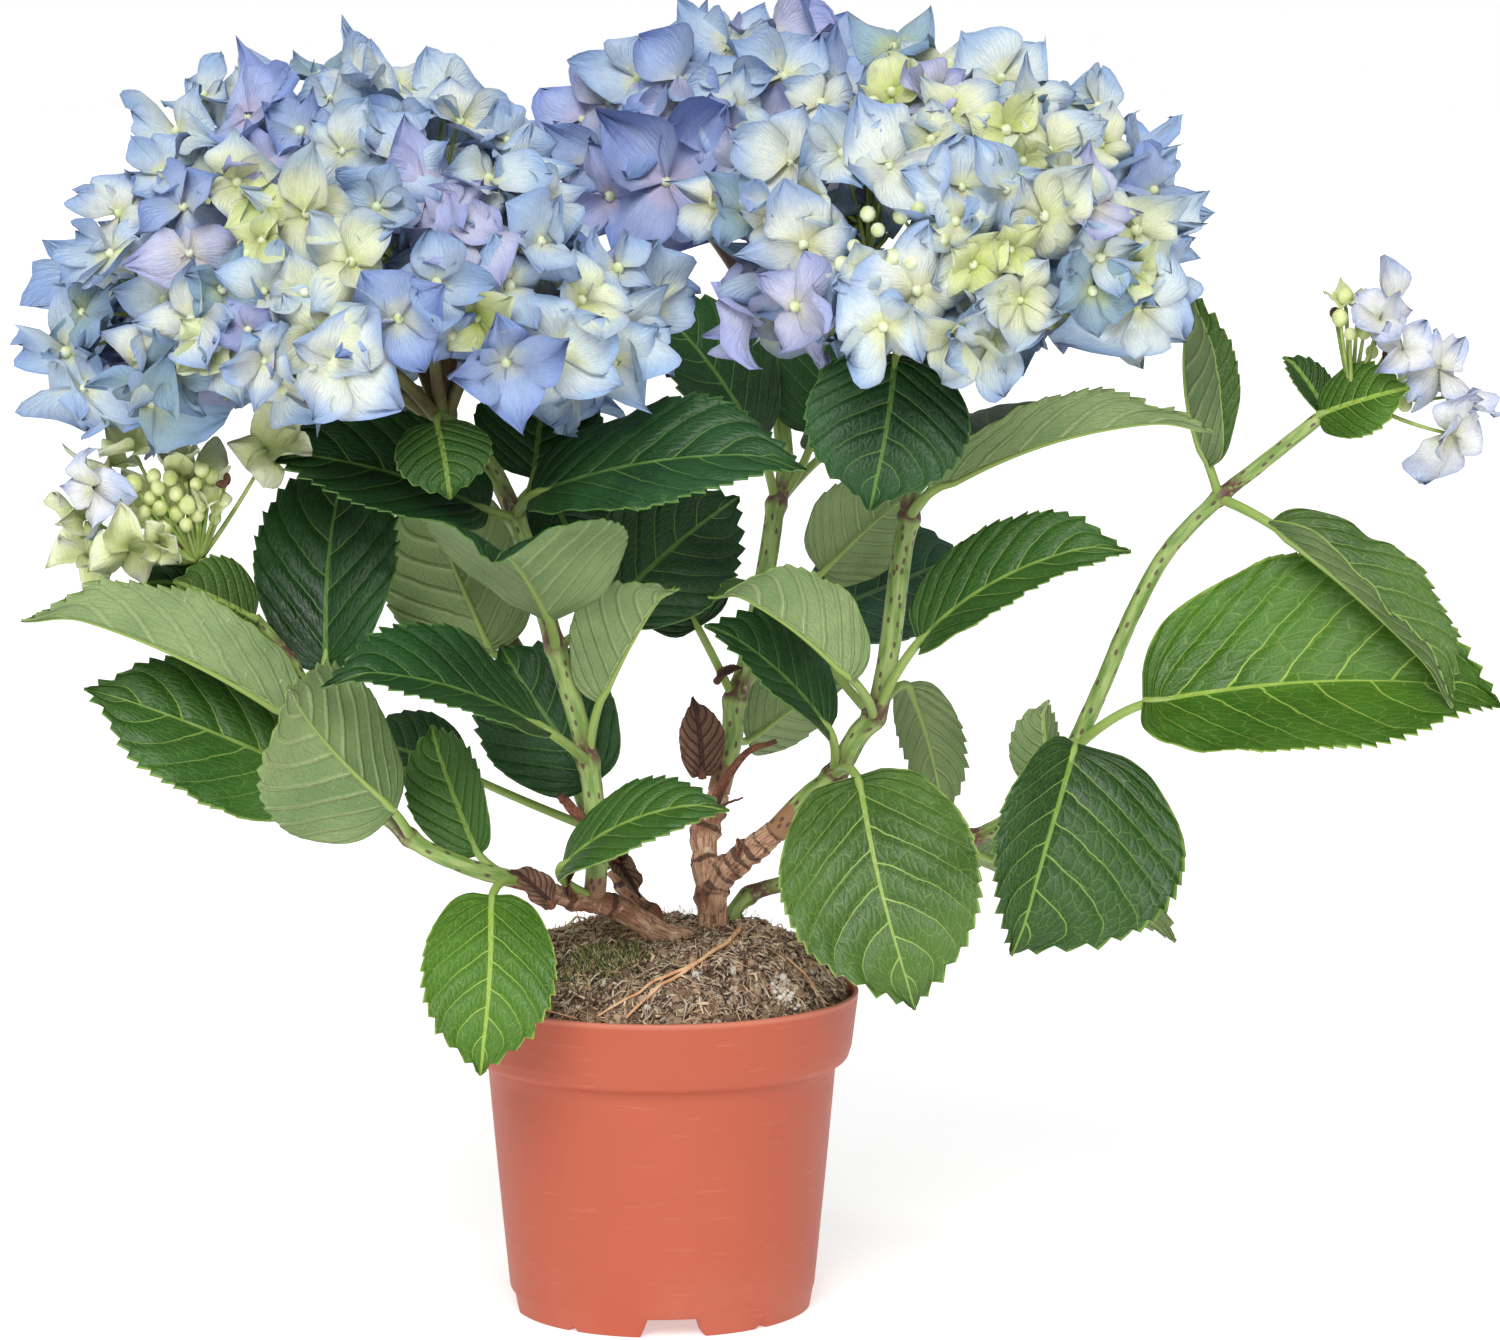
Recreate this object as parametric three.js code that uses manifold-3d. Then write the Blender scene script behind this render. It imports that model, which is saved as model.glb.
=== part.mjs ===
// A young mophead hydrangea in a round nursery pot, in millimetres, +Z up.
// The origin is the middle of the pot's flat underside. +X is to the right of the front, +Y is to the back.
// Stems rise from the potting soil, large opposite leaves leave them at their joints, and each stem ends in
// a head of flowers. Every stem, leaf and head is a solid of its own, 0.3 mm clear of what carries it.

import * as THREE from "three";
import { mergeVertices } from "three/addons/utils/BufferGeometryUtils.js";
import Module from "manifold-3d";

const wasm = await Module();
wasm.setup();

// ---------------------------------------------------------------- driving dimensions

const clearance = 0.3; // between any two pieces that meet

const pot = {
  height: 114,
  rimRadius: 70, // outside, at the top edge
  bandFoot: 94, // height of the step line under the rim band
  bandFootRadius: 67.5,
  shoulder: 88, // where the band has drawn in to the body
  shoulderRadius: 62,
  baseRadius: 54.5,
  footRadius: 53,
  footHeight: 8,
  ringInner: 48, // inside of the foot ring
  padRadius: 21, // flat pad in the middle of the underside
  floorUnderside: 7,
  wall: 1.8,
  notchCount: 4,
  notchTurn: -85, // degrees round from +X to the first notch
  notchTop: 18,
  notchBottom: 22.5,
  notchHeight: 6.4,
  notchStart: 42, // how far out the notch's cut begins, and how far it reaches
  notchReach: 17,
  segments: 36,
};

const soil = {
  edgeHeight: 109, // where the soil meets the pot's wall
  crown: 133, // height of the middle of the root ball
  frontPower: 2.6, // the front slopes gently, the back stands up like a rim
  backPower: 7,
  bump: 1.2,
  bumpSpans: [7, 9, 5], // lengths over which the crumbs of the surface rise and fall
  steepTurn: 20, // degrees by which the steep side is turned from straight back
  rings: [0, 22, 42, 58],
};

// A stem is a list of its joints with the radius at its foot and at its tip.
// grownFrom names the piece that it grows out of. wood_right also carries a fork and one dried leaf.
const stems = {
  wood_left: {
    joints: [[17, -2, 118], [12, -5, 129], [-1, -12, 136], [-16, -22, 147], [-31, -28, 151], [-47, -36, 158]],
    radius: [5.2, 3.2],
    wood: true,
  },
  stub: {
    joints: [[3, 2, 124], [-3, 3, 139], [-11, 5, 147], [-17, 5, 156]],
    radius: [3.2, 2.6],
    wood: true,
  },
  stem_back: {
    joints: [[-17.5, 5.3, 156.8], [-24, 9, 170], [-38, 22, 202], [-53, 34, 232], [-64, 44, 262], [-72, 50, 300]],
    radius: [2.6, 2.2],
    grownFrom: "stub",
  },
  wood_right: {
    joints: [[18, 12, 118], [18, 12, 131], [18, 12, 140], [16, 15, 155], [15, 19, 164], [18, 24, 174], [20, 27, 180]],
    radius: [6, 4],
    wood: true,
    fork: { joints: [[17, 13, 142], [20, 12, 151], [28, 10, 159], [40, 5.5, 169]], radius: [5, 4.2] },
    driedLeaf: {
      joint: 5, stalk: [-5, -7, 4], blade: [-6, -3, 22], top: [0, -0.9, 0.2], width: 20, arch: 8, fold: 16,
    },
  },
  stem_left: {
    joints: [[-23, -25, 151], [-22, -26, 168], [-25, -26, 199], [-36, -28, 239], [-50, -28, 285], [-60, -25, 304],
      [-75, -22, 319]],
    radius: [3.9, 3.1],
    grownFrom: "wood_left",
  },
  stem_low_left: {
    joints: [[-47.5, -36.5, 158.3], [-67, -44, 165], [-86, -50, 176], [-108, -50, 203], [-127, -48, 237],
      [-139, -48, 252]],
    radius: [3.2, 2.3],
    grownFrom: "wood_left",
  },
  stem_middle: {
    joints: [[20.2, 27.3, 180.5], [25, 31, 200], [26, 34, 213], [30, 37, 224], [38, 48, 263], [41, 52, 282],
      [44, 58, 291], [41, 70, 326], [36, 84, 352]],
    radius: [4.1, 3],
    grownFrom: "wood_right",
  },
  stem_right: {
    joints: [[40.5, 5.3, 169.4], [52, 2, 182], [61, 0, 190], [70, -4, 206], [75, -6, 212], [79, -8, 227],
      [85, -12, 273], [87, -13, 283], [88, -14, 296], [89, -17, 318], [92, -20, 331]],
    radius: [4.3, 3.3],
    grownFrom: "wood_right",
  },
  stem_far_lower: {
    joints: [[18, 26, 122], [24, 24, 135], [31, 27, 143], [44, 30, 147], [78, 34, 154], [111, 25, 164],
      [126, 10, 175], [145, -5, 200]],
    radius: [2.8, 3.1],
  },
  stem_far_upper: {
    joints: [[146, -5, 201.5], [155, -6, 222], [166, -8, 249], [178, -8, 271], [196, -8, 290], [208, -10, 300],
      [230, -12, 318]],
    radius: [3.2, 2.4],
    grownFrom: "stem_far_lower",
  },
};

const woodSwell = 0.5;
const greenSwell = 0.3;

// Each row grows one leaf from a joint of its stem: how far the leaf stalk reaches, how far the blade reaches
// from there to its tip, which way its upper face looks, its width, how much its midrib arches (degrees at
// each end) and how far its halves fold up (degrees).
const leaves = {
  low_left: {
    stem: "stem_low_left",
    rows: [
      { joint: 0, stalk: [-14, -34, 1], blade: [6, -27, -53], top: [0, -0.9, 0.4], width: 48, arch: 22, fold: 8 },
      { joint: 0, stalk: [-14, 6, 11], blade: [-17, 22, 41], top: [-0.45, -0.8, 0.4], width: 46, arch: 12, fold: 24 },
      { joint: 2, stalk: [-27, 4, 19], blade: [-80, -8, 32], top: [0.1, -0.75, 0.65], width: 54, arch: 14, fold: 10 },
      { joint: 2, stalk: [-8, -15, 12], blade: [-34, -36, 46], top: [-0.5, 0.65, -0.1], width: 72, arch: 16, fold: 14 },
      { joint: 3, stalk: [-8, 20, 33], blade: [4, 34, 60], top: [-0.2, -0.9, 0.4], width: 56, arch: 10, fold: 12 },
      { joint: 4, stalk: [0, -20, -17], blade: [-85, -25, 40], top: [0.1, 0.5, 0.85], width: 54, arch: 12, fold: 50 },
    ],
  },
  left: {
    stem: "stem_left",
    rows: [
      { joint: 0, stalk: [-8, -20, 22], blade: [50, -18, 19], top: [0, -0.6, 0.8], width: 42, arch: 22, fold: 12 },
      { joint: 1, stalk: [-5, 14, 17], blade: [-33, 14, 51], top: [-0.2, -0.9, 0.3], width: 60, arch: 12, fold: 10 },
      { joint: 2, stalk: [-18, -32, 19], blade: [-66, -36, 21], top: [0, -0.55, 0.8], width: 52, arch: 16, fold: 14 },
      { joint: 2, stalk: [7, -6, 24], blade: [25, -16, 43], top: [-0.6, 0.7, 0.5], width: 42, arch: 10, fold: 40 },
      { joint: 3, stalk: [-2, -22, 14], blade: [-15, -66, 31], top: [0, 0.4, 0.9], width: 82, arch: 14, fold: 32 },
      { joint: 3, stalk: [20, 16, 14], blade: [44, 22, 36], top: [0.2, -0.9, 0.4], width: 50, arch: 10, fold: 12 },
      { joint: 4, stalk: [-12, -13, 5], blade: [-73, -12, 20], top: [0, -0.6, 0.8], width: 52, arch: 16, fold: 16 },
      { joint: 4, stalk: [10, -15, 11], blade: [89, -22, 13], top: [0, -0.5, 0.85], width: 60, arch: 16, fold: 12 },
      { joint: 4, stalk: [6, 16, 14], blade: [3, 22, 33], top: [0, -0.9, 0.4], width: 46, arch: 8, fold: 10 },
      { joint: 5, stalk: [-15, -33, 15], blade: [5, -14, -24], top: [0, -0.95, 0.3], width: 34, arch: 14, fold: 12 },
    ],
  },
  back: {
    stem: "stem_back",
    rows: [
      { joint: 1, stalk: [-50, 5, 21], blade: [-38, 16, 9], top: [0, -0.6, 0.8], width: 36, arch: 14, fold: 12 },
      { joint: 3, stalk: [-9, -20, 4], blade: [-26, 2, 58], top: [-0.1, 0.9, 0.2], width: 56, arch: 12, fold: 12 },
      { joint: 4, stalk: [24, -8, 26], blade: [22, -16, -40], top: [0, -0.8, 0.3], width: 36, arch: 12, fold: 12 },
      { joint: 5, stalk: [-16, 8, 8], blade: [-44, 50, 6], top: [0, 0.1, 1], width: 58, arch: 16, fold: 14 },
      { joint: 4, stalk: [3, 26, 32], blade: [34, 62, 6], top: [0, 0.1, 1], width: 58, arch: 18, fold: 14 },
    ],
  },
  middle: {
    stem: "stem_middle",
    rows: [
      { joint: 2, stalk: [6, 20, -16], blade: [34, 12, 20], top: [-0.2, 0.8, 0.5], width: 42, arch: 10, fold: 14 },
      { joint: 2, stalk: [-14, -8, 29], blade: [-20, 4, 32], top: [0, -0.8, 0.5], width: 42, arch: 12, fold: 16 },
      { joint: 2, stalk: [33, 20, 30], blade: [53, 10, 21], top: [0.1, -0.75, 0.6], width: 52, arch: 14, fold: 12 },
      { joint: 5, stalk: [-8, -6, 26], blade: [-38, -12, 50], top: [0.3, -0.8, 0.5], width: 50, arch: 12, fold: 14 },
      { joint: 5, stalk: [14, 8, 28], blade: [6, 12, 48], top: [0, -0.9, 0.3], width: 46, arch: 12, fold: 14 },
      { joint: 5, stalk: [20, 26, 18], blade: [50, 54, 4], top: [0, 0.1, 1], width: 56, arch: 18, fold: 12 },
    ],
  },
  right: {
    stem: "stem_right",
    rows: [
      { joint: 2, stalk: [11, -34, 1], blade: [18, -30, -71], top: [0, -0.9, 0.35], width: 66, arch: 20, fold: 8 },
      { joint: 2, stalk: [-3, -14, 21], blade: [-41, -18, 38], top: [0.1, -0.6, 0.8], width: 42, arch: 12, fold: 18 },
      { joint: 4, stalk: [12, 22, 8], blade: [14, 18, -50], top: [0.2, 0.9, 0.3], width: 42, arch: 20, fold: 20 },
      { joint: 4, stalk: [-10, -26, 19], blade: [-47, -26, 35], top: [0.1, 0.5, 0.85], width: 52, arch: 10, fold: 46 },
      { joint: 4, stalk: [17, -18, 27], blade: [70, -22, 36], top: [0, -0.6, 0.8], width: 52, arch: 24, fold: 16 },
      { joint: 4, stalk: [-17, 32, 50], blade: [30, 4, 27], top: [-0.5, 0.8, 0.4], width: 50, arch: 8, fold: 12 },
      { joint: 7, stalk: [12, -15, 16], blade: [92, -18, 22], top: [0, 0.45, 0.9], width: 52, arch: 18, fold: 44 },
      { joint: 9, stalk: [-8, -30, 22], blade: [-9, -16, -47], top: [0, -0.95, 0.3], width: 58, arch: 16, fold: 12 },
      { joint: 7, stalk: [18, 28, 18], blade: [50, 50, 16], top: [0, 0.1, 1], width: 56, arch: 18, fold: 14 },
    ],
  },
  far_lower: {
    stem: "stem_far_lower",
    rows: [
      { joint: 5, stalk: [5, 14, -8], blade: [72, -2, -28], top: [0, 0.7, 0.7], width: 40, arch: 12, fold: 16 },
      { joint: 7, stalk: [0, -24, -3], blade: [-20, -26, -63], top: [0.3, -0.9, 0.3], width: 72, arch: 20, fold: 18 },
      { joint: 7, stalk: [25, -14, 22], blade: [125, -20, 9], top: [-0.05, -0.77, 0.64], width: 86, arch: 9, fold: 22 },
      { joint: 7, stalk: [-12, 8, -14], blade: [-5, 10, 27], top: [0.6, -0.7, 0.2], width: 26, arch: 10, fold: 40 },
    ],
  },
  far_upper: {
    stem: "stem_far_upper",
    rows: [
      { joint: 4, stalk: [28, -18, -11], blade: [61, -28, -53], top: [0.6, -0.37, 0.7], width: 64, arch: 14, fold: 50 },
      { joint: 4, stalk: [-1, -4, 14], blade: [-3, -3, 58], top: [0.88, -0.45, 0], width: 48, arch: -22, fold: 58 },
    ],
  },
};

const leafThickness = 1.4;
const stalkRadius = 1.6;
const bladeStations = [0, 0.12, 0.32, 0.56, 0.8, 1];
const stalkStations = [0, 0.45, 0.8];
const stalkSection = [[-0.9, 0.5], [0, 1], [0.9, 0.5], [0.9, -0.5], [0, -1], [-0.9, -0.5]];

// A head of flowers is a dome: its centre, half its width in x and in y, its height above the centre and its
// depth below. Its stalks spread from a hub on the stem's tip into a core, which is flatter underneath.
// Florets stand out of the core as far down as the angle "lowest", measured from straight up.
const heads = {
  head_left: {
    stem: "stem_left", centre: [-107, -20, 346], half: [119, 94], up: 103, down: 64,
    florets: 46, size: 25, core: 0.76, detail: 2, lowest: 114, seed: 3,
    stalks: 5, stalkRadii: [2.6, 2.2],
  },
  head_right: {
    stem: "stem_right", centre: [102, -34, 366], half: [90, 74], up: 86, down: 60,
    florets: 38, size: 24, core: 0.74, detail: 2, lowest: 114, seed: 8,
    stalks: 5, stalkRadii: [2.6, 2.2],
  },
  head_back: {
    stem: "stem_middle", centre: [22, 95, 398], half: [72, 62], up: 67, down: 44,
    florets: 28, size: 22, core: 0.72, detail: 2, lowest: 110, seed: 5,
    stalks: 5, stalkRadii: [2.6, 2.2],
  },
  cluster_left: {
    stem: "stem_low_left", centre: [-167, -57, 287], half: [40, 28], up: 26, down: 26,
    florets: 11, size: 13, core: 0.45, detail: 1, lowest: 122, seed: 11,
    stalks: 3, stalkRadii: [1.4, 1.2],
    twig: [[-139.4, -48, 252.6], [-150, -50, 264], [-160, -53, 276]],
    leaflets: [
      { from: [-140, -50, 254], blade: [-16, -14, 26], top: [0, -0.7, 0.7], width: 28, arch: 8, fold: 14 },
      { from: [-146, -44, 260], blade: [-34, 16, 2], top: [0, -0.6, 0.8], width: 26, arch: 10, fold: 12 },
    ],
  },
  cluster_right: {
    stem: "stem_far_upper", centre: [262, -14, 334], half: [26, 24], up: 36, down: 36,
    florets: 9, size: 13, core: 0.3, detail: 1, lowest: 145, seed: 21,
    stalks: 3, stalkRadii: [1.4, 1.2],
    twig: [[230.4, -12, 318.3], [238, -12, 323], [246, -13, 328]],
    leaflets: [
      { from: [232, -14, 320], blade: [27, -16, 14], top: [0, -0.8, 0.6], width: 24, arch: 8, fold: 12 },
      { from: [236, -9, 323], blade: [-14, 10, 22], top: [0.4, -0.7, 0.5], width: 18, arch: 10, fold: 20 },
    ],
  },
};

const coreUnderside = 0.3; // depth of a core below its centre, as a share of the head's
const stalkSpread = 0.5; // where a head's stalks end, as a share of the core's half width
const twigRadii = [2.1, 1.7];

// A floret is four broad sepals, drawn as one square plate with its corners turned down.
const floret = {
  sepals: 4,
  waist: 0.62, // reach between two sepals, as a share of their length
  droop: 0.12, // how far the tips hang, as a share of their length
  neck: 2.6, // radius at which the stalk spreads out under the plate
  neckDepth: 2,
  sunk: 0.8, // how deep the stalk's root lies in the core, as a share of it
};

const goldenAngle = Math.PI * (3 - Math.sqrt(5));

// ---------------------------------------------------------------- materials

function finish(colour, roughness, metalness = 0) {
  return new THREE.MeshStandardMaterial({ color: colour, roughness, metalness });
}

const finishes = {
  terracottaPlastic: finish("#cc6c5b", 0.5),
  peat: finish("#6d5b4c", 0.95),
  bark: finish("#9a7258", 0.85),
  greenStem: finish("#88a356", 0.55),
  leafGreen: finish("#2f6b38", 0.45),
  petalBlue: finish("#a4b8e2", 0.7),
  petalGreen: finish("#dfe8b4", 0.7),
};

// ---------------------------------------------------------------- solids and meshes

// Closed geometry to manifold: shared corners are merged and triangles that collapsed are dropped.
function solidOf(geometry) {
  const bare = geometry.index ? geometry.clone() : geometry;
  bare.deleteAttribute("normal");
  bare.deleteAttribute("uv");
  const merged = mergeVertices(bare, 1e-3);
  const corners = merged.index.array;
  const kept = [];
  for (let i = 0; i < corners.length; i += 3) {
    const [a, b, c] = [corners[i], corners[i + 1], corners[i + 2]];
    if (a !== b && b !== c && c !== a) kept.push(a, b, c);
  }
  return new wasm.Manifold(
    new wasm.Mesh({
      numProp: 3,
      vertProperties: new Float32Array(merged.attributes.position.array),
      triVerts: new Uint32Array(kept),
    }),
  );
}

// The largest body of a solid: cutting can leave a loose scrap, which is dropped.
function largestBody(solid) {
  const bodies = solid.decompose();
  bodies.sort((a, b) => b.volume() - a.volume());
  return bodies[0];
}

function meshOf(name, solid, material) {
  const made = solid.getMesh();
  const geometry = new THREE.BufferGeometry();
  geometry.setAttribute("position", new THREE.BufferAttribute(new Float32Array(made.vertProperties), 3));
  geometry.setIndex(new THREE.BufferAttribute(new Uint32Array(made.triVerts), 1));
  geometry.computeVertexNormals();
  const mesh = new THREE.Mesh(geometry, material);
  mesh.name = name;
  return mesh;
}

// Stacks closed rings of equal size into one closed skin with flat ends.
function skinOf(rings) {
  const sides = rings[0].length;
  const positions = rings.flat().flatMap((p) => [p.x, p.y, p.z]);
  const triangles = [];
  for (let i = 0; i + 1 < rings.length; i++) {
    for (let j = 0; j < sides; j++) {
      const a = i * sides + j;
      const b = i * sides + ((j + 1) % sides);
      triangles.push(a, b, b + sides, a, b + sides, a + sides);
    }
  }
  const last = (rings.length - 1) * sides;
  for (let j = 1; j + 1 < sides; j++) {
    triangles.push(0, j + 1, j);
    triangles.push(last, last + j, last + j + 1);
  }
  const geometry = new THREE.BufferGeometry();
  geometry.setAttribute("position", new THREE.BufferAttribute(new Float32Array(positions), 3));
  geometry.setIndex(triangles);
  return geometry;
}

const vector = (p) => new THREE.Vector3(...p);

// A tapering limb: a many-sided section carried along a smooth curve through its joints, a little swollen
// at each joint. "grow" thickens it for cutting what must stay clear of it.
function limb(joints, radius, { sides = 7, perSpan = 2, swell = 0, grow = 0 } = {}) {
  const curve = new THREE.CatmullRomCurve3(joints.map(vector), false, "centripetal");
  const spans = joints.length - 1;
  const steps = spans * perSpan;
  const frames = curve.computeFrenetFrames(steps, false);
  const rings = [];
  for (let i = 0; i <= steps; i++) {
    const u = i / steps;
    const atJoint = i % perSpan === 0 && i > 0 && i < steps;
    const r = THREE.MathUtils.lerp(radius[0], radius[1], u) + (atJoint ? swell : 0) + grow;
    const centre = curve.getPoint(u);
    const ring = [];
    for (let j = 0; j < sides; j++) {
      const turn = (2 * Math.PI * j) / sides;
      ring.push(
        centre.clone()
          .addScaledVector(frames.normals[i], r * Math.cos(turn))
          .addScaledVector(frames.binormals[i], r * Math.sin(turn)),
      );
    }
    rings.push(ring);
  }
  return solidOf(skinOf(rings));
}

// Share of the full width at a share of the length: broad near the base, drawn out to a point.
function leafOutline(u) {
  return Math.sin(Math.PI * u ** 0.72) ** 0.8;
}

// The frame of a blade: along its chord, square to its upper face, and across.
function bladeFrame(blade, top) {
  const along = vector(blade).normalize();
  const upper = vector(top).addScaledVector(along, -vector(top).dot(along)).normalize();
  const across = new THREE.Vector3().crossVectors(along, upper);
  return { along, upper, across };
}

// The rings of a leaf blade: its midrib is an arc of a circle from base to tip, its halves fold up from it.
function bladeRings(base, { blade, top, width, arch, fold }) {
  const { along, upper, across } = bladeFrame(blade, top);
  const chord = vector(blade).length();
  const half = THREE.MathUtils.degToRad(arch);
  const lift = Math.tan(THREE.MathUtils.degToRad(fold));
  const squeeze = Math.cos(THREE.MathUtils.degToRad(fold));
  return bladeStations.map((u) => {
    const turn = half * (2 * u - 1);
    const rise = (Math.cos(turn) - Math.cos(half)) / (2 * Math.sin(half));
    const run = (Math.sin(turn) + Math.sin(half)) / (2 * Math.sin(half));
    const rib = base.clone().addScaledVector(along, chord * run).addScaledVector(upper, chord * rise);
    const face = upper.clone().multiplyScalar(Math.cos(turn)).addScaledVector(along, Math.sin(turn));
    const reach = Math.max(1.2, (width / 2) * leafOutline(u)) * squeeze;
    const point = (side, depth) =>
      rib.clone().addScaledVector(across, side * reach)
        .addScaledVector(face, Math.abs(side) * reach * lift - depth);
    return [point(-1, 0), point(0, 0), point(1, 0),
      point(1, leafThickness), point(0, leafThickness), point(-1, leafThickness)];
  });
}

// The rings of a leaf stalk: from the middle of the stem it bends into the blade's own direction.
function stalkRings(from, base, { blade, top, arch }) {
  const { along, upper, across } = bladeFrame(blade, top);
  const lean = THREE.MathUtils.degToRad(arch);
  const start = along.clone().multiplyScalar(Math.cos(lean)).addScaledVector(upper, Math.sin(lean));
  const middle = base.clone().addScaledVector(upper, -leafThickness / 2);
  const bend = middle.clone().addScaledVector(start, -0.4 * from.distanceTo(base));
  const curve = new THREE.QuadraticBezierCurve3(from, bend, middle);
  return stalkStations.map((u) => {
    const centre = curve.getPoint(u);
    const heading = curve.getTangent(u);
    const side = across.clone().addScaledVector(heading, -across.dot(heading)).normalize();
    const above = new THREE.Vector3().crossVectors(side, heading);
    return stalkSection.map(([x, z]) => centre.clone()
      .addScaledVector(side, x * stalkRadius).addScaledVector(above, z * stalkRadius));
  });
}

function facingOut(rings) {
  const skin = solidOf(skinOf(rings));
  return skin.volume() > 0 ? skin : solidOf(skinOf(rings.reverse()));
}

function leafSolid(from, row, carriers) {
  const base = from.clone().add(vector(row.stalk));
  const whole = facingOut([...stalkRings(from, base, row), ...bladeRings(base, row)]);
  return largestBody(carriers.reduce((leaf, stem) => leaf.subtract(stem), whole));
}

// ---------------------------------------------------------------- pot and soil

function lathe(profile, segments) {
  const points = profile.map(([r, z]) => new THREE.Vector2(r, z));
  const geometry = new THREE.LatheGeometry(points, segments);
  geometry.rotateX(Math.PI / 2);
  return geometry;
}

const innerShoulder = pot.shoulderRadius - pot.wall;
const innerBand = pot.bandFootRadius - pot.wall;
const innerRim = pot.rimRadius - pot.wall;
const innerBase = pot.baseRadius - pot.wall;
const floorTop = pot.floorUnderside + pot.wall;

function potSolid() {
  let whole = solidOf(lathe([
    [0, 0],
    [pot.padRadius, 0],
    [pot.padRadius + 1.5, pot.floorUnderside],
    [pot.ringInner - 0.8, pot.floorUnderside],
    [pot.ringInner, 0],
    [pot.footRadius, 0],
    [pot.baseRadius, pot.footHeight],
    [pot.shoulderRadius, pot.shoulder],
    [pot.bandFootRadius - 2.2, pot.shoulder + 1.4],
    [pot.bandFootRadius - 0.5, pot.shoulder + 4],
    [pot.bandFootRadius, pot.bandFoot],
    [pot.rimRadius, pot.height],
    [innerRim, pot.height],
    [innerBand, pot.bandFoot],
    [innerShoulder, pot.shoulder + 2],
    [innerBase, floorTop],
    [0, floorTop],
  ], pot.segments));
  for (let i = 0; i < pot.notchCount; i++) {
    const outline = new THREE.Shape();
    outline.moveTo(-pot.notchBottom / 2, -1);
    outline.lineTo(pot.notchBottom / 2, -1);
    outline.lineTo(pot.notchTop / 2, pot.notchHeight);
    outline.lineTo(-pot.notchTop / 2, pot.notchHeight);
    outline.closePath();
    const cutter = new THREE.ExtrudeGeometry(outline, { depth: pot.notchReach, bevelEnabled: false });
    cutter.rotateX(Math.PI / 2);
    cutter.rotateZ(Math.PI / 2);
    cutter.translate(pot.notchStart, 0, 0);
    cutter.rotateZ(THREE.MathUtils.degToRad(pot.notchTurn + (360 * i) / pot.notchCount));
    whole = whole.subtract(solidOf(cutter));
  }
  return whole;
}

// The top of the root ball: a mound whose edge is steeper at the back than at the front.
function soilHeight(x, y) {
  const wallRadius = innerRim - clearance;
  const r = Math.min(1, Math.hypot(x, y) / wallRadius);
  const back = (1 + Math.sin(Math.atan2(y, x) + THREE.MathUtils.degToRad(soil.steepTurn))) / 2;
  const power = THREE.MathUtils.lerp(soil.frontPower, soil.backPower, back);
  const [spanX, spanY, spanXY] = soil.bumpSpans;
  const waves = Math.sin(x / spanX + 1) * Math.cos(y / spanY) + Math.sin((x + y) / spanXY) / 2;
  const bumps = soil.bump * waves * (1 - r ** 4);
  return soil.edgeHeight + (soil.crown - soil.edgeHeight) * (1 - r ** power) + bumps;
}

function soilSolid(roots) {
  const drop = ((innerRim - innerBand) * (pot.height - soil.edgeHeight)) / (pot.height - pot.bandFoot);
  const profile = [
    [0, floorTop + clearance],
    [innerBase - clearance, floorTop + clearance],
    [innerShoulder - clearance, pot.shoulder + 2],
    [innerBand - clearance, pot.bandFoot],
    [innerRim - drop - clearance, soil.edgeHeight],
    ...soil.rings.slice(1).reverse().map((r) => [r, soil.crown]),
    [0, soil.crown],
  ];
  const geometry = lathe(profile, pot.segments);
  const place = geometry.attributes.position;
  for (let i = 0; i < place.count; i++) {
    if (place.getZ(i) > soil.edgeHeight + 1) place.setZ(i, soilHeight(place.getX(i), place.getY(i)));
  }
  return roots.reduce((ball, root) => ball.subtract(root), solidOf(geometry));
}

// ---------------------------------------------------------------- stems

function stemSolid({ joints, radius, wood, fork, driedLeaf }, grow = 0) {
  const shape = { swell: wood ? woodSwell : greenSwell, grow };
  const main = limb(joints, radius, shape);
  if (!fork) return main;
  const forked = main.add(limb(fork.joints, fork.radius, shape));
  return forked.add(leafSolid(vector(joints[driedLeaf.joint]), driedLeaf, []));
}

// A stem with the one it grows from and those that grow from it: the pieces that its leaves are cut clear of.
function familyOf(name) {
  const related = (other) => other === name || stems[other].grownFrom === name || stems[name].grownFrom === other;
  return Object.keys(stems).filter(related).map((other) => grown[other]);
}

// ---------------------------------------------------------------- flower heads

// Repeatable numbers between 0 and 1, the same on every run.
function seeded(seed) {
  let state = seed * 7919 + 17;
  return () => {
    state = (state * 1103515245 + 12345) % 2147483648;
    return state / 2147483648;
  };
}

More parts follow.
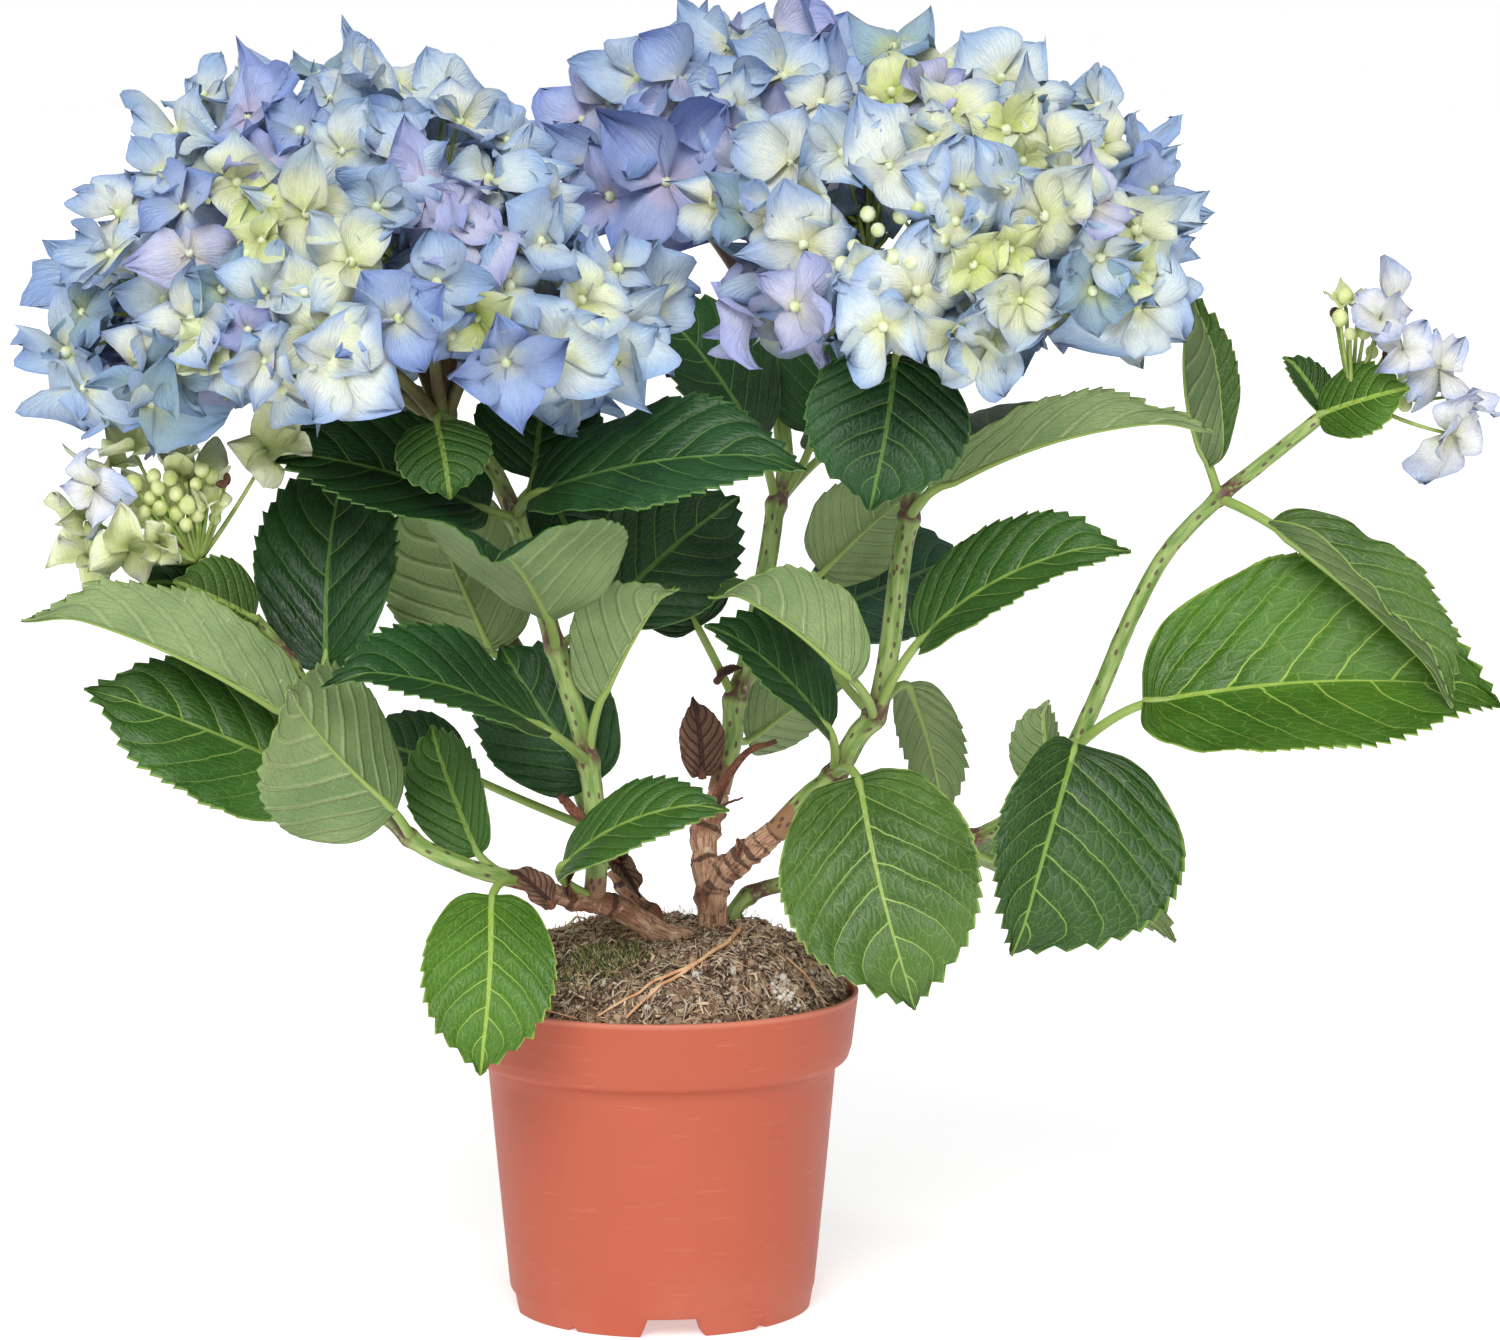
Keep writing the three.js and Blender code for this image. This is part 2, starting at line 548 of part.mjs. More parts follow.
// A floret: a thin plate of four broad sepals on a pointed stalk whose root is sunk in the core.
function floretSolid(root, centre, normal, size, spin) {
  const side = new THREE.Vector3(0, 0, 1).cross(normal);
  if (side.length() < 0.1) side.set(1, 0, 0);
  side.normalize();
  const other = new THREE.Vector3().crossVectors(normal, side);
  const at = (turn, reach, height) =>
    centre.clone()
      .addScaledVector(side, reach * Math.cos(turn))
      .addScaledVector(other, reach * Math.sin(turn))
      .addScaledVector(normal, height);
  const { sepals } = floret;
  const rim = 2 * sepals; // tips and waists in turn round the edge
  const points = [at(0, 0, 1)];
  for (let k = 0; k < rim; k++) {
    const turn = spin + (Math.PI * k) / sepals;
    const isTip = k % 2 === 0;
    points.push(at(turn, isTip ? size : floret.waist * size, isTip ? -floret.droop * size : 0));
  }
  const neck = points.length;
  for (let k = 0; k < sepals; k++) {
    points.push(at(spin + (2 * Math.PI * k) / sepals, floret.neck, -floret.neckDepth));
  }
  const foot = points.length;
  points.push(root);
  const triangles = [];
  for (let k = 0; k < rim; k++) {
    const next = (k + 1) % rim;
    const under = neck + (((k + 1) >> 1) % sepals);
    triangles.push(0, 1 + k, 1 + next);
    triangles.push(1 + next, 1 + k, under);
  }
  for (let k = 0; k < sepals; k++) {
    const next = (k + 1) % sepals;
    const waist = 2 + 2 * k;
    triangles.push(neck + k, neck + next, waist);
    triangles.push(neck + next, neck + k, foot);
  }
  const geometry = new THREE.BufferGeometry();
  const positions = new Float32Array(points.flatMap((p) => p.toArray()));
  geometry.setAttribute("position", new THREE.BufferAttribute(positions, 3));
  geometry.setIndex(triangles);
  return solidOf(geometry);
}

// A point of the dome's surface and the direction square to it, for a direction from its centre.
function domePoint(head, direction, share = 1) {
  const height = direction.z > 0 ? head.up : head.down;
  const radii = new THREE.Vector3(head.half[0], head.half[1], height);
  const point = vector(head.centre).add(direction.clone().multiply(radii).multiplyScalar(share));
  const normal = direction.clone().divide(radii).normalize();
  return { point, normal };
}

function coreSolid(head) {
  const ball = new THREE.IcosahedronGeometry(1, head.detail);
  const place = ball.attributes.position;
  for (let i = 0; i < place.count; i++) {
    const direction = new THREE.Vector3().fromBufferAttribute(place, i);
    if (direction.z < 0) direction.z *= coreUnderside / head.core;
    const { point } = domePoint(head, direction, head.core);
    place.setXYZ(i, point.x, point.y, point.z);
  }
  return solidOf(ball);
}

// One of the stalks that spread from the hub on the stem's tip into the core.
function headStalk(head, tip, k) {
  const turn = (2 * Math.PI * k) / head.stalks + goldenAngle / 6;
  const spread = stalkSpread * head.core;
  const aim = vector(head.centre);
  aim.x += spread * head.half[0] * Math.cos(turn);
  aim.y += spread * head.half[1] * Math.sin(turn);
  const start = tip.clone().lerp(aim, -0.02);
  const joints = [start, start.clone().lerp(aim, 0.5), aim].map((p) => p.toArray());
  return limb(joints, head.stalkRadii, { sides: 4, perSpan: 1 });
}

// The i-th floret: evenly spread over the dome, a little sunk and tilted at random. One that would touch
// a leaf or a stem is left out.
function floretOf(head, i, random, neighbours) {
  const lowest = Math.cos(THREE.MathUtils.degToRad(head.lowest));
  const z = 1 - ((i + 0.5) / head.florets) * (1 - lowest);
  const turn = i * goldenAngle;
  const flatness = Math.sqrt(1 - z * z);
  const direction = new THREE.Vector3(flatness * Math.cos(turn), flatness * Math.sin(turn), z);
  const { point, normal } = domePoint(head, direction);
  point.addScaledVector(normal, -3 - 5 * random());
  const tilt = new THREE.Vector3(random() - 0.5, random() - 0.5, random() - 0.3).multiplyScalar(0.5);
  const face = normal.clone().add(tilt).normalize();
  const size = head.size * (0.92 + 0.16 * random());
  const spin = random() * Math.PI;
  const rootDirection = direction.clone();
  if (z < 0) rootDirection.z *= coreUnderside;
  const { point: root } = domePoint(head, rootDirection, head.core * floret.sunk);
  const whole = floretSolid(root, point, face, size, spin);
  return neighbours.some((other) => other.intersect(whole).volume() > 0) ? null : whole;
}

function headSolid(head, stem, neighbours) {
  const random = seeded(head.seed);
  const tip = vector((head.twig ?? stems[head.stem].joints).at(-1));
  const pieces = [];
  if (head.twig) pieces.push(limb(head.twig, twigRadii, { sides: 5 }));
  for (let k = 0; k < head.stalks; k++) pieces.push(headStalk(head, tip, k));
  for (let i = 0; i < head.florets; i++) {
    const one = floretOf(head, i, random, neighbours);
    if (one) pieces.push(one);
  }
  for (const leaflet of head.leaflets ?? []) {
    pieces.push(facingOut(bladeRings(vector(leaflet.from), leaflet)));
  }
  const whole = pieces.reduce((sum, piece) => sum.add(piece), coreSolid(head));
  return largestBody(whole.subtract(stem));
}

// ---------------------------------------------------------------- the whole plant

const plant = new THREE.Group();
const solids = {};
const grown = {}; // stems thickened by the clearance, which cut what meets them

plant.add(meshOf("pot", potSolid(), finishes.terracottaPlastic));

for (const [name, stem] of Object.entries(stems)) {
  grown[name] = stemSolid(stem, clearance);
  const whole = stem.grownFrom ? stemSolid(stem).subtract(grown[stem.grownFrom]) : stemSolid(stem);
  solids[name] = largestBody(whole);
  plant.add(meshOf(name, solids[name], stem.wood ? finishes.bark : finishes.greenStem));
}

const roots = ["wood_left", "stub", "wood_right", "stem_far_lower"];
solids.soil = soilSolid(roots.map((name) => grown[name]));
plant.add(meshOf("soil", solids.soil, finishes.peat));

for (const [group, { stem, rows }] of Object.entries(leaves)) {
  rows.forEach((row, i) => {
    const name = `leaf_${group}_${i + 1}`;
    const from = vector(stems[stem].joints[row.joint]);
    solids[name] = leafSolid(from, row, familyOf(stem));
    plant.add(meshOf(name, solids[name], finishes.leafGreen));
  });
}

for (const [name, head] of Object.entries(heads)) {
  solids[name] = headSolid(head, grown[head.stem], Object.values(solids));
  const petals = name.startsWith("head") ? finishes.petalBlue : finishes.petalGreen;
  plant.add(meshOf(name, solids[name], petals));
}

export default plant;
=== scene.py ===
import bpy
import bmesh
import numpy as np
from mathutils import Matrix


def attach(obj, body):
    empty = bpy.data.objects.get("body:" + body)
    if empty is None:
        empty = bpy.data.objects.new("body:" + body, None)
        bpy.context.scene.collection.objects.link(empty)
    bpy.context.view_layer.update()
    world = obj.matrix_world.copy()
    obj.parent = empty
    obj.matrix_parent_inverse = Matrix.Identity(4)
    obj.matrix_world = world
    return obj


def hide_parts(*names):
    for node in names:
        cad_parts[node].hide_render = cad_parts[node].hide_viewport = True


# A young hydrangea in a round nursery pot. All shapes are worked out in millimetres and stored in metres,
# with the origin in the middle of the pot's underside, +Z up and the front towards -Y.

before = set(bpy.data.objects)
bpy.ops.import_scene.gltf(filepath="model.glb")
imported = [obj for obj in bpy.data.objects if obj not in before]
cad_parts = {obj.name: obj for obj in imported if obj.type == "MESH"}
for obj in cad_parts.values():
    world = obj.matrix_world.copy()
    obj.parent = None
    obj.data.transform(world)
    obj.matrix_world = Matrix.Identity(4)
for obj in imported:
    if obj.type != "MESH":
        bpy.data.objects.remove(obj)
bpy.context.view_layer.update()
mm = 0.001
goldenAngle = np.pi * (3 - np.sqrt(5))


# small sums on arrays of vectors
def unit(vectors):
    # each vector divided by its own length
    return vectors / np.maximum(np.linalg.norm(vectors, axis=-1, keepdims=True), 1e-9)


def smoothStep(low, high, values):
    # 0 below low, 1 above high, and 3x^2 - 2x^3 between
    x = np.clip((values - low) / (high - low), 0, 1)
    return x * x * (3 - 2 * x)


def ripple(points, span, seed):
    # about -1 to 1: the mean of six sine waves that run in seeded directions, a span or so long
    dice = np.random.default_rng(seed)
    ways = unit(dice.normal(size=(6, 3))) * dice.uniform(0.7, 1.6, (6, 1))
    phases = dice.uniform(0, 2 * np.pi, 6)
    return np.sin(points @ ways.T * (2 * np.pi / span) + phases).mean(-1) * 1.8


def srgb(red, green, blue):
    # a colour as seen on a screen, 0 to 255, turned into the linear one that a shader takes
    seen = np.array([red, green, blue]) / 255
    linear = np.where(seen <= 0.04045, seen / 12.92, ((seen + 0.055) / 1.055) ** 2.4)
    return (*linear.tolist(), 1.0)


# curves and grids
def roundTurns(count):
    # angles evenly round a circle
    return 2 * np.pi * np.arange(count) / count


def waysFrom(z, turn):
    # directions of a sphere, from their height and their turn about Z
    flatness = np.sqrt(np.maximum(0, 1 - z * z))
    return np.stack([flatness * np.cos(turn), flatness * np.sin(turn), z], axis=-1)


def curveThrough(joints, perSpan):
    # a cubic through the joints whose slopes allow for the square roots of the gaps between them
    p = np.array(joints, float)
    p = np.vstack([2 * p[0] - p[1], p, 2 * p[-1] - p[-2]])
    gap = np.sqrt(np.linalg.norm(np.diff(p, axis=0), axis=1))[:, None]
    a, b, c, d = p[:-3], p[1:-2], p[2:-1], p[3:]
    ga, gb, gc = gap[:-2], gap[1:-1], gap[2:]
    slopeB = ((b - a) / ga - (c - a) / (ga + gb) + (c - b) / gb) * gb
    slopeC = ((c - b) / gb - (d - b) / (gb + gc) + (d - c) / gc) * gb
    u = (np.arange(perSpan) / perSpan)[None, :, None]
    b, c, slopeB, slopeC = b[:, None], c[:, None], slopeB[:, None], slopeC[:, None]
    points = b + slopeB * u + (-3 * b + 3 * c - 2 * slopeB - slopeC) * u ** 2
    points = points + (2 * b - 2 * c + slopeB + slopeC) * u ** 3
    return np.vstack([points.reshape(-1, 3), p[-2]])


def lengthAlong(path):
    # how far each point lies from the path's first one, along it
    return np.concatenate([[0], np.cumsum(np.linalg.norm(np.diff(path, axis=0), axis=1))])


def bentLines(starts, bends, ends, steps):
    # many quadratic curves at once: (1-u)^2 start + 2u(1-u) bend + u^2 end
    u = np.linspace(0, 1, steps)[None, :, None]
    a, b, c = starts[:, None], bends[:, None], ends[:, None]
    return (1 - u) ** 2 * a + 2 * u * (1 - u) * b + u ** 2 * c


def tubes(paths, radii, sides, flat=1.0):
    # many tubes at once, closed at both ends: path + radius (cos a . side + sin a . up)
    heading = unit(np.gradient(paths, axis=1))
    chord = np.abs(paths[:, -1] - paths[:, 0])
    reference = np.eye(3)[np.argmin(chord, axis=1)][:, None, :]
    side = unit(np.cross(heading, reference))
    up = np.cross(heading, side)
    turn = roundTurns(sides)
    spread = np.cos(turn)[:, None] * side[:, :, None] + flat * np.sin(turn)[:, None] * up[:, :, None]
    rings = paths[:, :, None] + np.broadcast_to(radii, paths.shape[:2])[:, :, None, None] * spread
    first = np.repeat(paths[:, :1, None], sides, axis=2)
    last = np.repeat(paths[:, -1:, None], sides, axis=2)
    return np.concatenate([first, rings, last], axis=1)


def tileBoxes(count):
    # a square board of count tiles: each one's left, bottom, width and height
    side = int(np.ceil(np.sqrt(count)))
    k = np.arange(count)
    size = 1 / side
    return np.stack([(k % side + 0.04) * size, (k // side + 0.04) * size,
                     np.full(count, 0.92 * size), np.full(count, 0.92 * size)], axis=1)


def cornersOf(values):
    # values at grid points, (n, rows, columns, 2), dealt to the four corners of each cell
    low, high = values[:, :-1], values[:, 1:]
    return np.stack([low[:, :, :-1], low[:, :, 1:], high[:, :, 1:], high[:, :, :-1]], axis=3)


def boardMap(rows, spans, boxes):
    # each grid spread evenly over its own tile
    x = np.linspace(0, 1, spans + 1)[None, None, :]
    y = np.linspace(0, 1, rows)[None, :, None]
    x, y = np.broadcast_arrays(x, y)
    x = boxes[:, 0, None, None] + boxes[:, 2, None, None] * x
    y = boxes[:, 1, None, None] + boxes[:, 3, None, None] * y
    return cornersOf(np.stack([x, y], axis=-1))


def oneTile(left, bottom, width, height):
    # one tile for a single grid
    return np.array([[left, bottom, width, height]])


def emptyPart():
    return {"points": [], "faces": [], "slots": [], "maps": {}, "marks": {}, "count": 0}


def layGrids(part, grids, slots=0, wrap=False, maps=None, marks=None):
    # adds grids of points, (n, rows, columns, 3), each cell a four-cornered face. Wrapped ones close up
    n, rows, columns, _ = grids.shape
    spans = columns if wrap else columns - 1
    i, j = np.arange(rows - 1)[:, None], np.arange(spans)[None, :]
    nextJ = (j + 1) % columns
    low, high = i * columns, (i + 1) * columns
    cell = np.stack([low + j, low + nextJ, high + nextJ, high + j], axis=-1)
    starts = part["count"] + np.arange(n) * rows * columns
    faces = cell[None] + starts[:, None, None, None]
    part["points"].append(grids.reshape(-1, 3))
    part["faces"].append(faces.reshape(-1, 4))
    slots = np.array(slots)
    if slots.ndim == 1:
        slots = slots[:, None, None]
    part["slots"].append(np.broadcast_to(slots, faces.shape[:3]).reshape(-1))
    for name, corners in (maps or {}).items():
        whole = np.broadcast_to(corners, (n, rows - 1, spans, 4, 2))
        part["maps"].setdefault(name, []).append(whole.reshape(-1, 2))
    for name, values in (marks or {}).items():
        part["marks"].setdefault(name, []).append(np.broadcast_to(values, (n, rows, columns)).reshape(-1))
    part["count"] += n * rows * columns


def layTubes(part, grids, slots=0, boxes=None, maps=None, marks=None):
    # wrapped grids, each with a tile of the board to bake on
    rows, columns = grids.shape[1:3]
    boxes = tileBoxes(len(grids)) if boxes is None else boxes
    maps = {**(maps or {}), "OFBake": boardMap(rows, columns, boxes)}
    layGrids(part, grids, slots, True, maps, marks)


def makePiece(name, part, materials, replaces=()):
    # turns the gathered grids into one object, its doubled points merged
    points = np.concatenate(part["points"]) * mm
    faces = np.concatenate(part["faces"])
    mesh = bpy.data.meshes.new(name)
    mesh.vertices.add(len(points))
    mesh.vertices.foreach_set("co", points.astype(np.float32).ravel())
    mesh.loops.add(faces.size)
    mesh.loops.foreach_set("vertex_index", faces.astype(np.int32).ravel())
    mesh.polygons.add(len(faces))
    mesh.polygons.foreach_set("loop_start", np.arange(0, faces.size, 4, dtype=np.int32))
    for material in materials:
        mesh.materials.append(material)
    mesh.polygons.foreach_set("material_index", np.concatenate(part["slots"]).astype(np.int32))
    mesh.polygons.foreach_set("use_smooth", np.ones(len(faces), bool))
    for mapName, corners in part["maps"].items():
        layer = mesh.uv_layers.new(name=mapName)
        layer.data.foreach_set("uv", np.concatenate(corners).astype(np.float32).ravel())
    for markName, values in part["marks"].items():
        mark = mesh.attributes.new(markName, "FLOAT", "POINT")
        mark.data.foreach_set("value", np.concatenate(values).astype(np.float32))
    mesh.update(calc_edges=True)
    welded = bmesh.new()
    welded.from_mesh(mesh)
    bmesh.ops.remove_doubles(welded, verts=welded.verts, dist=2e-6)
    loose = [v for v in welded.verts if not v.link_faces]
    bmesh.ops.delete(welded, geom=loose, context="VERTS")
    welded.to_mesh(mesh)
    welded.free()
    piece = bpy.data.objects.new(name, mesh)
    bpy.context.collection.objects.link(piece)
    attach(piece, "root")
    if replaces:
        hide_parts(*replaces)
    return piece


# material helpers
def newMaterial(name):
    material = bpy.data.materials.new(name)
    material.use_nodes = True
    return material, material.node_tree


def finished(material, tone, roughness, gloss=0.5, relief=None, depth=0.0, strength=1.0, sheen=0.0):
    # colour, roughness, shine and relief led to the shader
    tree = material.node_tree
    shader = tree.nodes["Principled BSDF"]
    tree.links.new(tone, shader.inputs["Base Color"])
    if isinstance(roughness, bpy.types.NodeSocket):
        tree.links.new(roughness, shader.inputs["Roughness"])
    else:
        shader.inputs["Roughness"].default_value = roughness
    shader.inputs["Specular IOR Level"].default_value = gloss
    shader.inputs["Sheen Weight"].default_value = sheen
    bump = addNode(tree, "ShaderNodeBump", None, Height=relief, Strength=strength, Distance=depth)
    tree.links.new(bump.outputs[0], shader.inputs["Normal"])
    return material


def addNode(tree, kind, settings=None, **inputs):
    made = tree.nodes.new(kind)
    for key, value in (settings or {}).items():
        setattr(made, key, value)
    for key, value in inputs.items():
        place = made.inputs[int(key[1:])] if key[0] == "i" and key[1:].isdigit() else made.inputs[key]
        if isinstance(value, bpy.types.NodeSocket):
            tree.links.new(value, place)
        else:
            place.default_value = value
    return made


def treeOf(*values):
    # the node tree that the first socket among the values belongs to
    return next(value for value in values if isinstance(value, bpy.types.NodeSocket)).id_data


def maths(operation, a, b=0.0):
    return addNode(treeOf(a, b), "ShaderNodeMath", {"operation": operation}, i0=a, i1=b).outputs[0]


def times(a, b):
    return maths("MULTIPLY", a, b)


def plus(a, b):
    return maths("ADD", a, b)


def minus(a, b):
    return maths("SUBTRACT", a, b)


def coat(under, over, share, strength=1.0):
    # a colour laid over another by a share, more or less strongly
    share = share if strength == 1 else times(share, strength)
    made = addNode(share.id_data, "ShaderNodeMix", {"data_type": "RGBA"}, i0=share, i6=under, i7=over)
    return made.outputs[2]


def fade(value, fromLow, fromHigh, toLow=0.0, toHigh=1.0):
    # a smooth step of the value from one level to another
    made = addNode(value.id_data, "ShaderNodeMapRange", {"interpolation_type": "SMOOTHSTEP"},
                   i0=value, i1=fromLow, i2=fromHigh, i3=toLow, i4=toHigh)
    return made.outputs[0]


def scaled(vector, x, y, z=1.0):
    return addNode(vector.id_data, "ShaderNodeMapping", None, Vector=vector, Scale=(x, y, z)).outputs[0]


def noise(vector, scale, detail=3.0, roughness=0.55):
    made = addNode(vector.id_data, "ShaderNodeTexNoise", None, Vector=vector, Scale=scale, Detail=detail,
                   Roughness=roughness)
    return made.outputs["Fac"]


def cells(vector, scale, feature="DISTANCE_TO_EDGE", randomness=1.0, dimensions="3D"):
    settings = {"feature": feature, "voronoi_dimensions": dimensions}
    return addNode(vector.id_data, "ShaderNodeTexVoronoi", settings, Vector=vector, Scale=scale,
                   Randomness=randomness)


def parts(vector):
    # x, y and z of a vector
    return addNode(vector.id_data, "ShaderNodeSeparateXYZ", None, Vector=vector).outputs


def joined(x, y):
    # a vector of these two
    return addNode(treeOf(x, y), "ShaderNodeCombineXYZ", None, X=x, Y=y).outputs[0]


def ownMap(tree, name):
    return addNode(tree, "ShaderNodeUVMap", {"uv_map": name}).outputs[0]


def attribute(tree, name):
    return addNode(tree, "ShaderNodeAttribute", {"attribute_name": name}).outputs["Fac"]


def objectPlace(tree):
    return addNode(tree, "ShaderNodeTexCoord").outputs["Object"]


print("helpers ready")


# camera, lights and floor
view = {
    "place": (31.5, -1850, 450),
    "tiltDown": 6.84,
    "focalPixels": 5275,
    "pictureSize": (1500, 1340),
    "sensorWidth": 36,
}

cameraData = bpy.data.cameras.new("camera")
cameraData.sensor_width = view["sensorWidth"]
cameraData.lens = view["focalPixels"] * view["sensorWidth"] / view["pictureSize"][0]
cameraData.clip_start = 0.05
cameraData.clip_end = 100
camera = bpy.data.objects.new("camera", cameraData)
camera.location = np.array(view["place"]) * mm
camera.rotation_euler = (np.radians(90 - view["tiltDown"]), 0, 0)
bpy.context.collection.objects.link(camera)
bpy.context.scene.camera = camera


def atPictureSpot(columns, rows, y):
    # the points at depth y that the camera sees at these columns and rows of its picture
    tilt = np.radians(view["tiltDown"])
    width, height = view["pictureSize"]
    right = (columns - width / 2) / view["focalPixels"]
    down = (rows - height / 2) / view["focalPixels"]
    px, py, pz = view["place"]
    along = (y - py) / (np.cos(tilt) - np.sin(tilt) * down)
    z = pz - along * (np.sin(tilt) + np.cos(tilt) * down)
    return np.stack([px + along * right, y + 0 * along, z], axis=-1)


studio = {
    "backdrop": 1.0,
    "softLight": 0.36,
    "floorTone": (0.9, 0.9, 0.9, 1),
    "floorGlow": 0.46,
    "floorRadius": 30.0,
    # name: way the light travels, power, how wide it looks in degrees
    "suns": {
        "keySun": ((0.10, 0.80, -0.60), 2.3, 34),
        "topSun": ((-0.25, 0.1, -0.95), 0.5, 50),
    },
}

world = bpy.data.worlds.new("studioSky")
world.use_nodes = True
sky = world.node_tree
lightPath = sky.nodes.new("ShaderNodeLightPath")
strength = sky.nodes.new("ShaderNodeMapRange")
strength.inputs["To Min"].default_value = studio["softLight"]
strength.inputs["To Max"].default_value = studio["backdrop"]
sky.links.new(lightPath.outputs["Is Camera Ray"], strength.inputs["Value"])
sky.links.new(strength.outputs[0], sky.nodes["Background"].inputs["Strength"])
sky.nodes["Background"].inputs["Color"].default_value = (1, 1, 1, 1)
bpy.context.scene.world = world
bpy.context.scene.view_settings.view_transform = "Standard"
bpy.context.scene.view_settings.look = "None"

for sunName, (way, power, wide) in studio["suns"].items():
    sunData = bpy.data.lights.new(sunName, "SUN")
    sunData.energy = power
    sunData.angle = np.radians(wide)
    sun = bpy.data.objects.new(sunName, sunData)
    flat = np.hypot(way[0], way[1])
    sun.rotation_euler = (np.arctan2(flat, -way[2]), 0, np.arctan2(-way[0], way[1]))
    bpy.context.collection.objects.link(sun)

turn = roundTurns(64)
disc = np.stack([np.cos(turn), np.sin(turn), 0 * turn], 1) * studio["floorRadius"]
floorMesh = bpy.data.meshes.new("floor")
floorMesh.from_pydata(disc.tolist(), [], [list(range(64))])
floor = bpy.data.objects.new("floor", floorMesh)
bpy.context.collection.objects.link(floor)
floorMaterial, floorTree = newMaterial("paleFloor")
floorLook = {"Base Color": studio["floorTone"], "Roughness": 0.9, "Emission Color": (1, 1, 1, 1),
             "Emission Strength": studio["floorGlow"]}
for socket, value in floorLook.items():
    floorTree.nodes["Principled BSDF"].inputs[socket].default_value = value
floorMesh.materials.append(floorMaterial)
print("camera, lights and floor ready")


# pot: a turned profile with a notched foot
potShape = {
    "height": 114, "rimRadius": 70, "bandFoot": 94, "bandFootRadius": 67.5,
    "shoulder": 88, "shoulderRadius": 62, "baseRadius": 54.5, "footRadius": 53, "footHeight": 8,
    "ringInner": 48, "padRadius": 21, "floorUnderside": 7, "wall": 1.8,
    "notchCount": 4, "notchTurn": -85, "notchTop": 18, "notchBottom": 22.5, "notchHeight": 6.4,
    "nicks": ((-125, 1.3), (-48, 1.5)), "nickHeight": 1.8,  # where, in degrees, and how wide
    "bandWaves": 3, "bandOut": 0.12, "around": 240,
}
plasticTones = {"deep": (178, 84, 60), "light": (186, 94, 70), "scuff": (212, 146, 126),
                "lip": (216, 140, 118), "dust": (190, 130, 110)}


def potMaterial():
    material, tree = newMaterial("terracottaPlastic")
    place = objectPlace(tree)
    height = parts(place)[2]
    cloud = noise(place, 22, 4)
    speck = noise(place, 900, 2)
    scratch = noise(scaled(place, 60, 60, 900), 1, 3)
    scuff = fade(scratch, 0.62, 0.72)
    tints = {name: srgb(*tone) for name, tone in plasticTones.items()}
    tone = coat(tints["deep"], tints["light"], cloud)
    tone = coat(tone, tints["scuff"], scuff, 0.16)
    lip = fade(height, 0.1115, 0.1132)
    tone = coat(tone, tints["lip"], lip, 0.5)
    dust = times(fade(height, 0.03, 0.0), fade(cloud, 0.4, 0.7))
    tone = coat(tone, tints["dust"], dust, 0.3)
    grain = plus(speck, times(scratch, 0.6))
    roughness = fade(cloud, 0.2, 0.8, 0.42, 0.56)
    return finished(material, tone, roughness, 0.3, grain, 0.00006, 0.5)


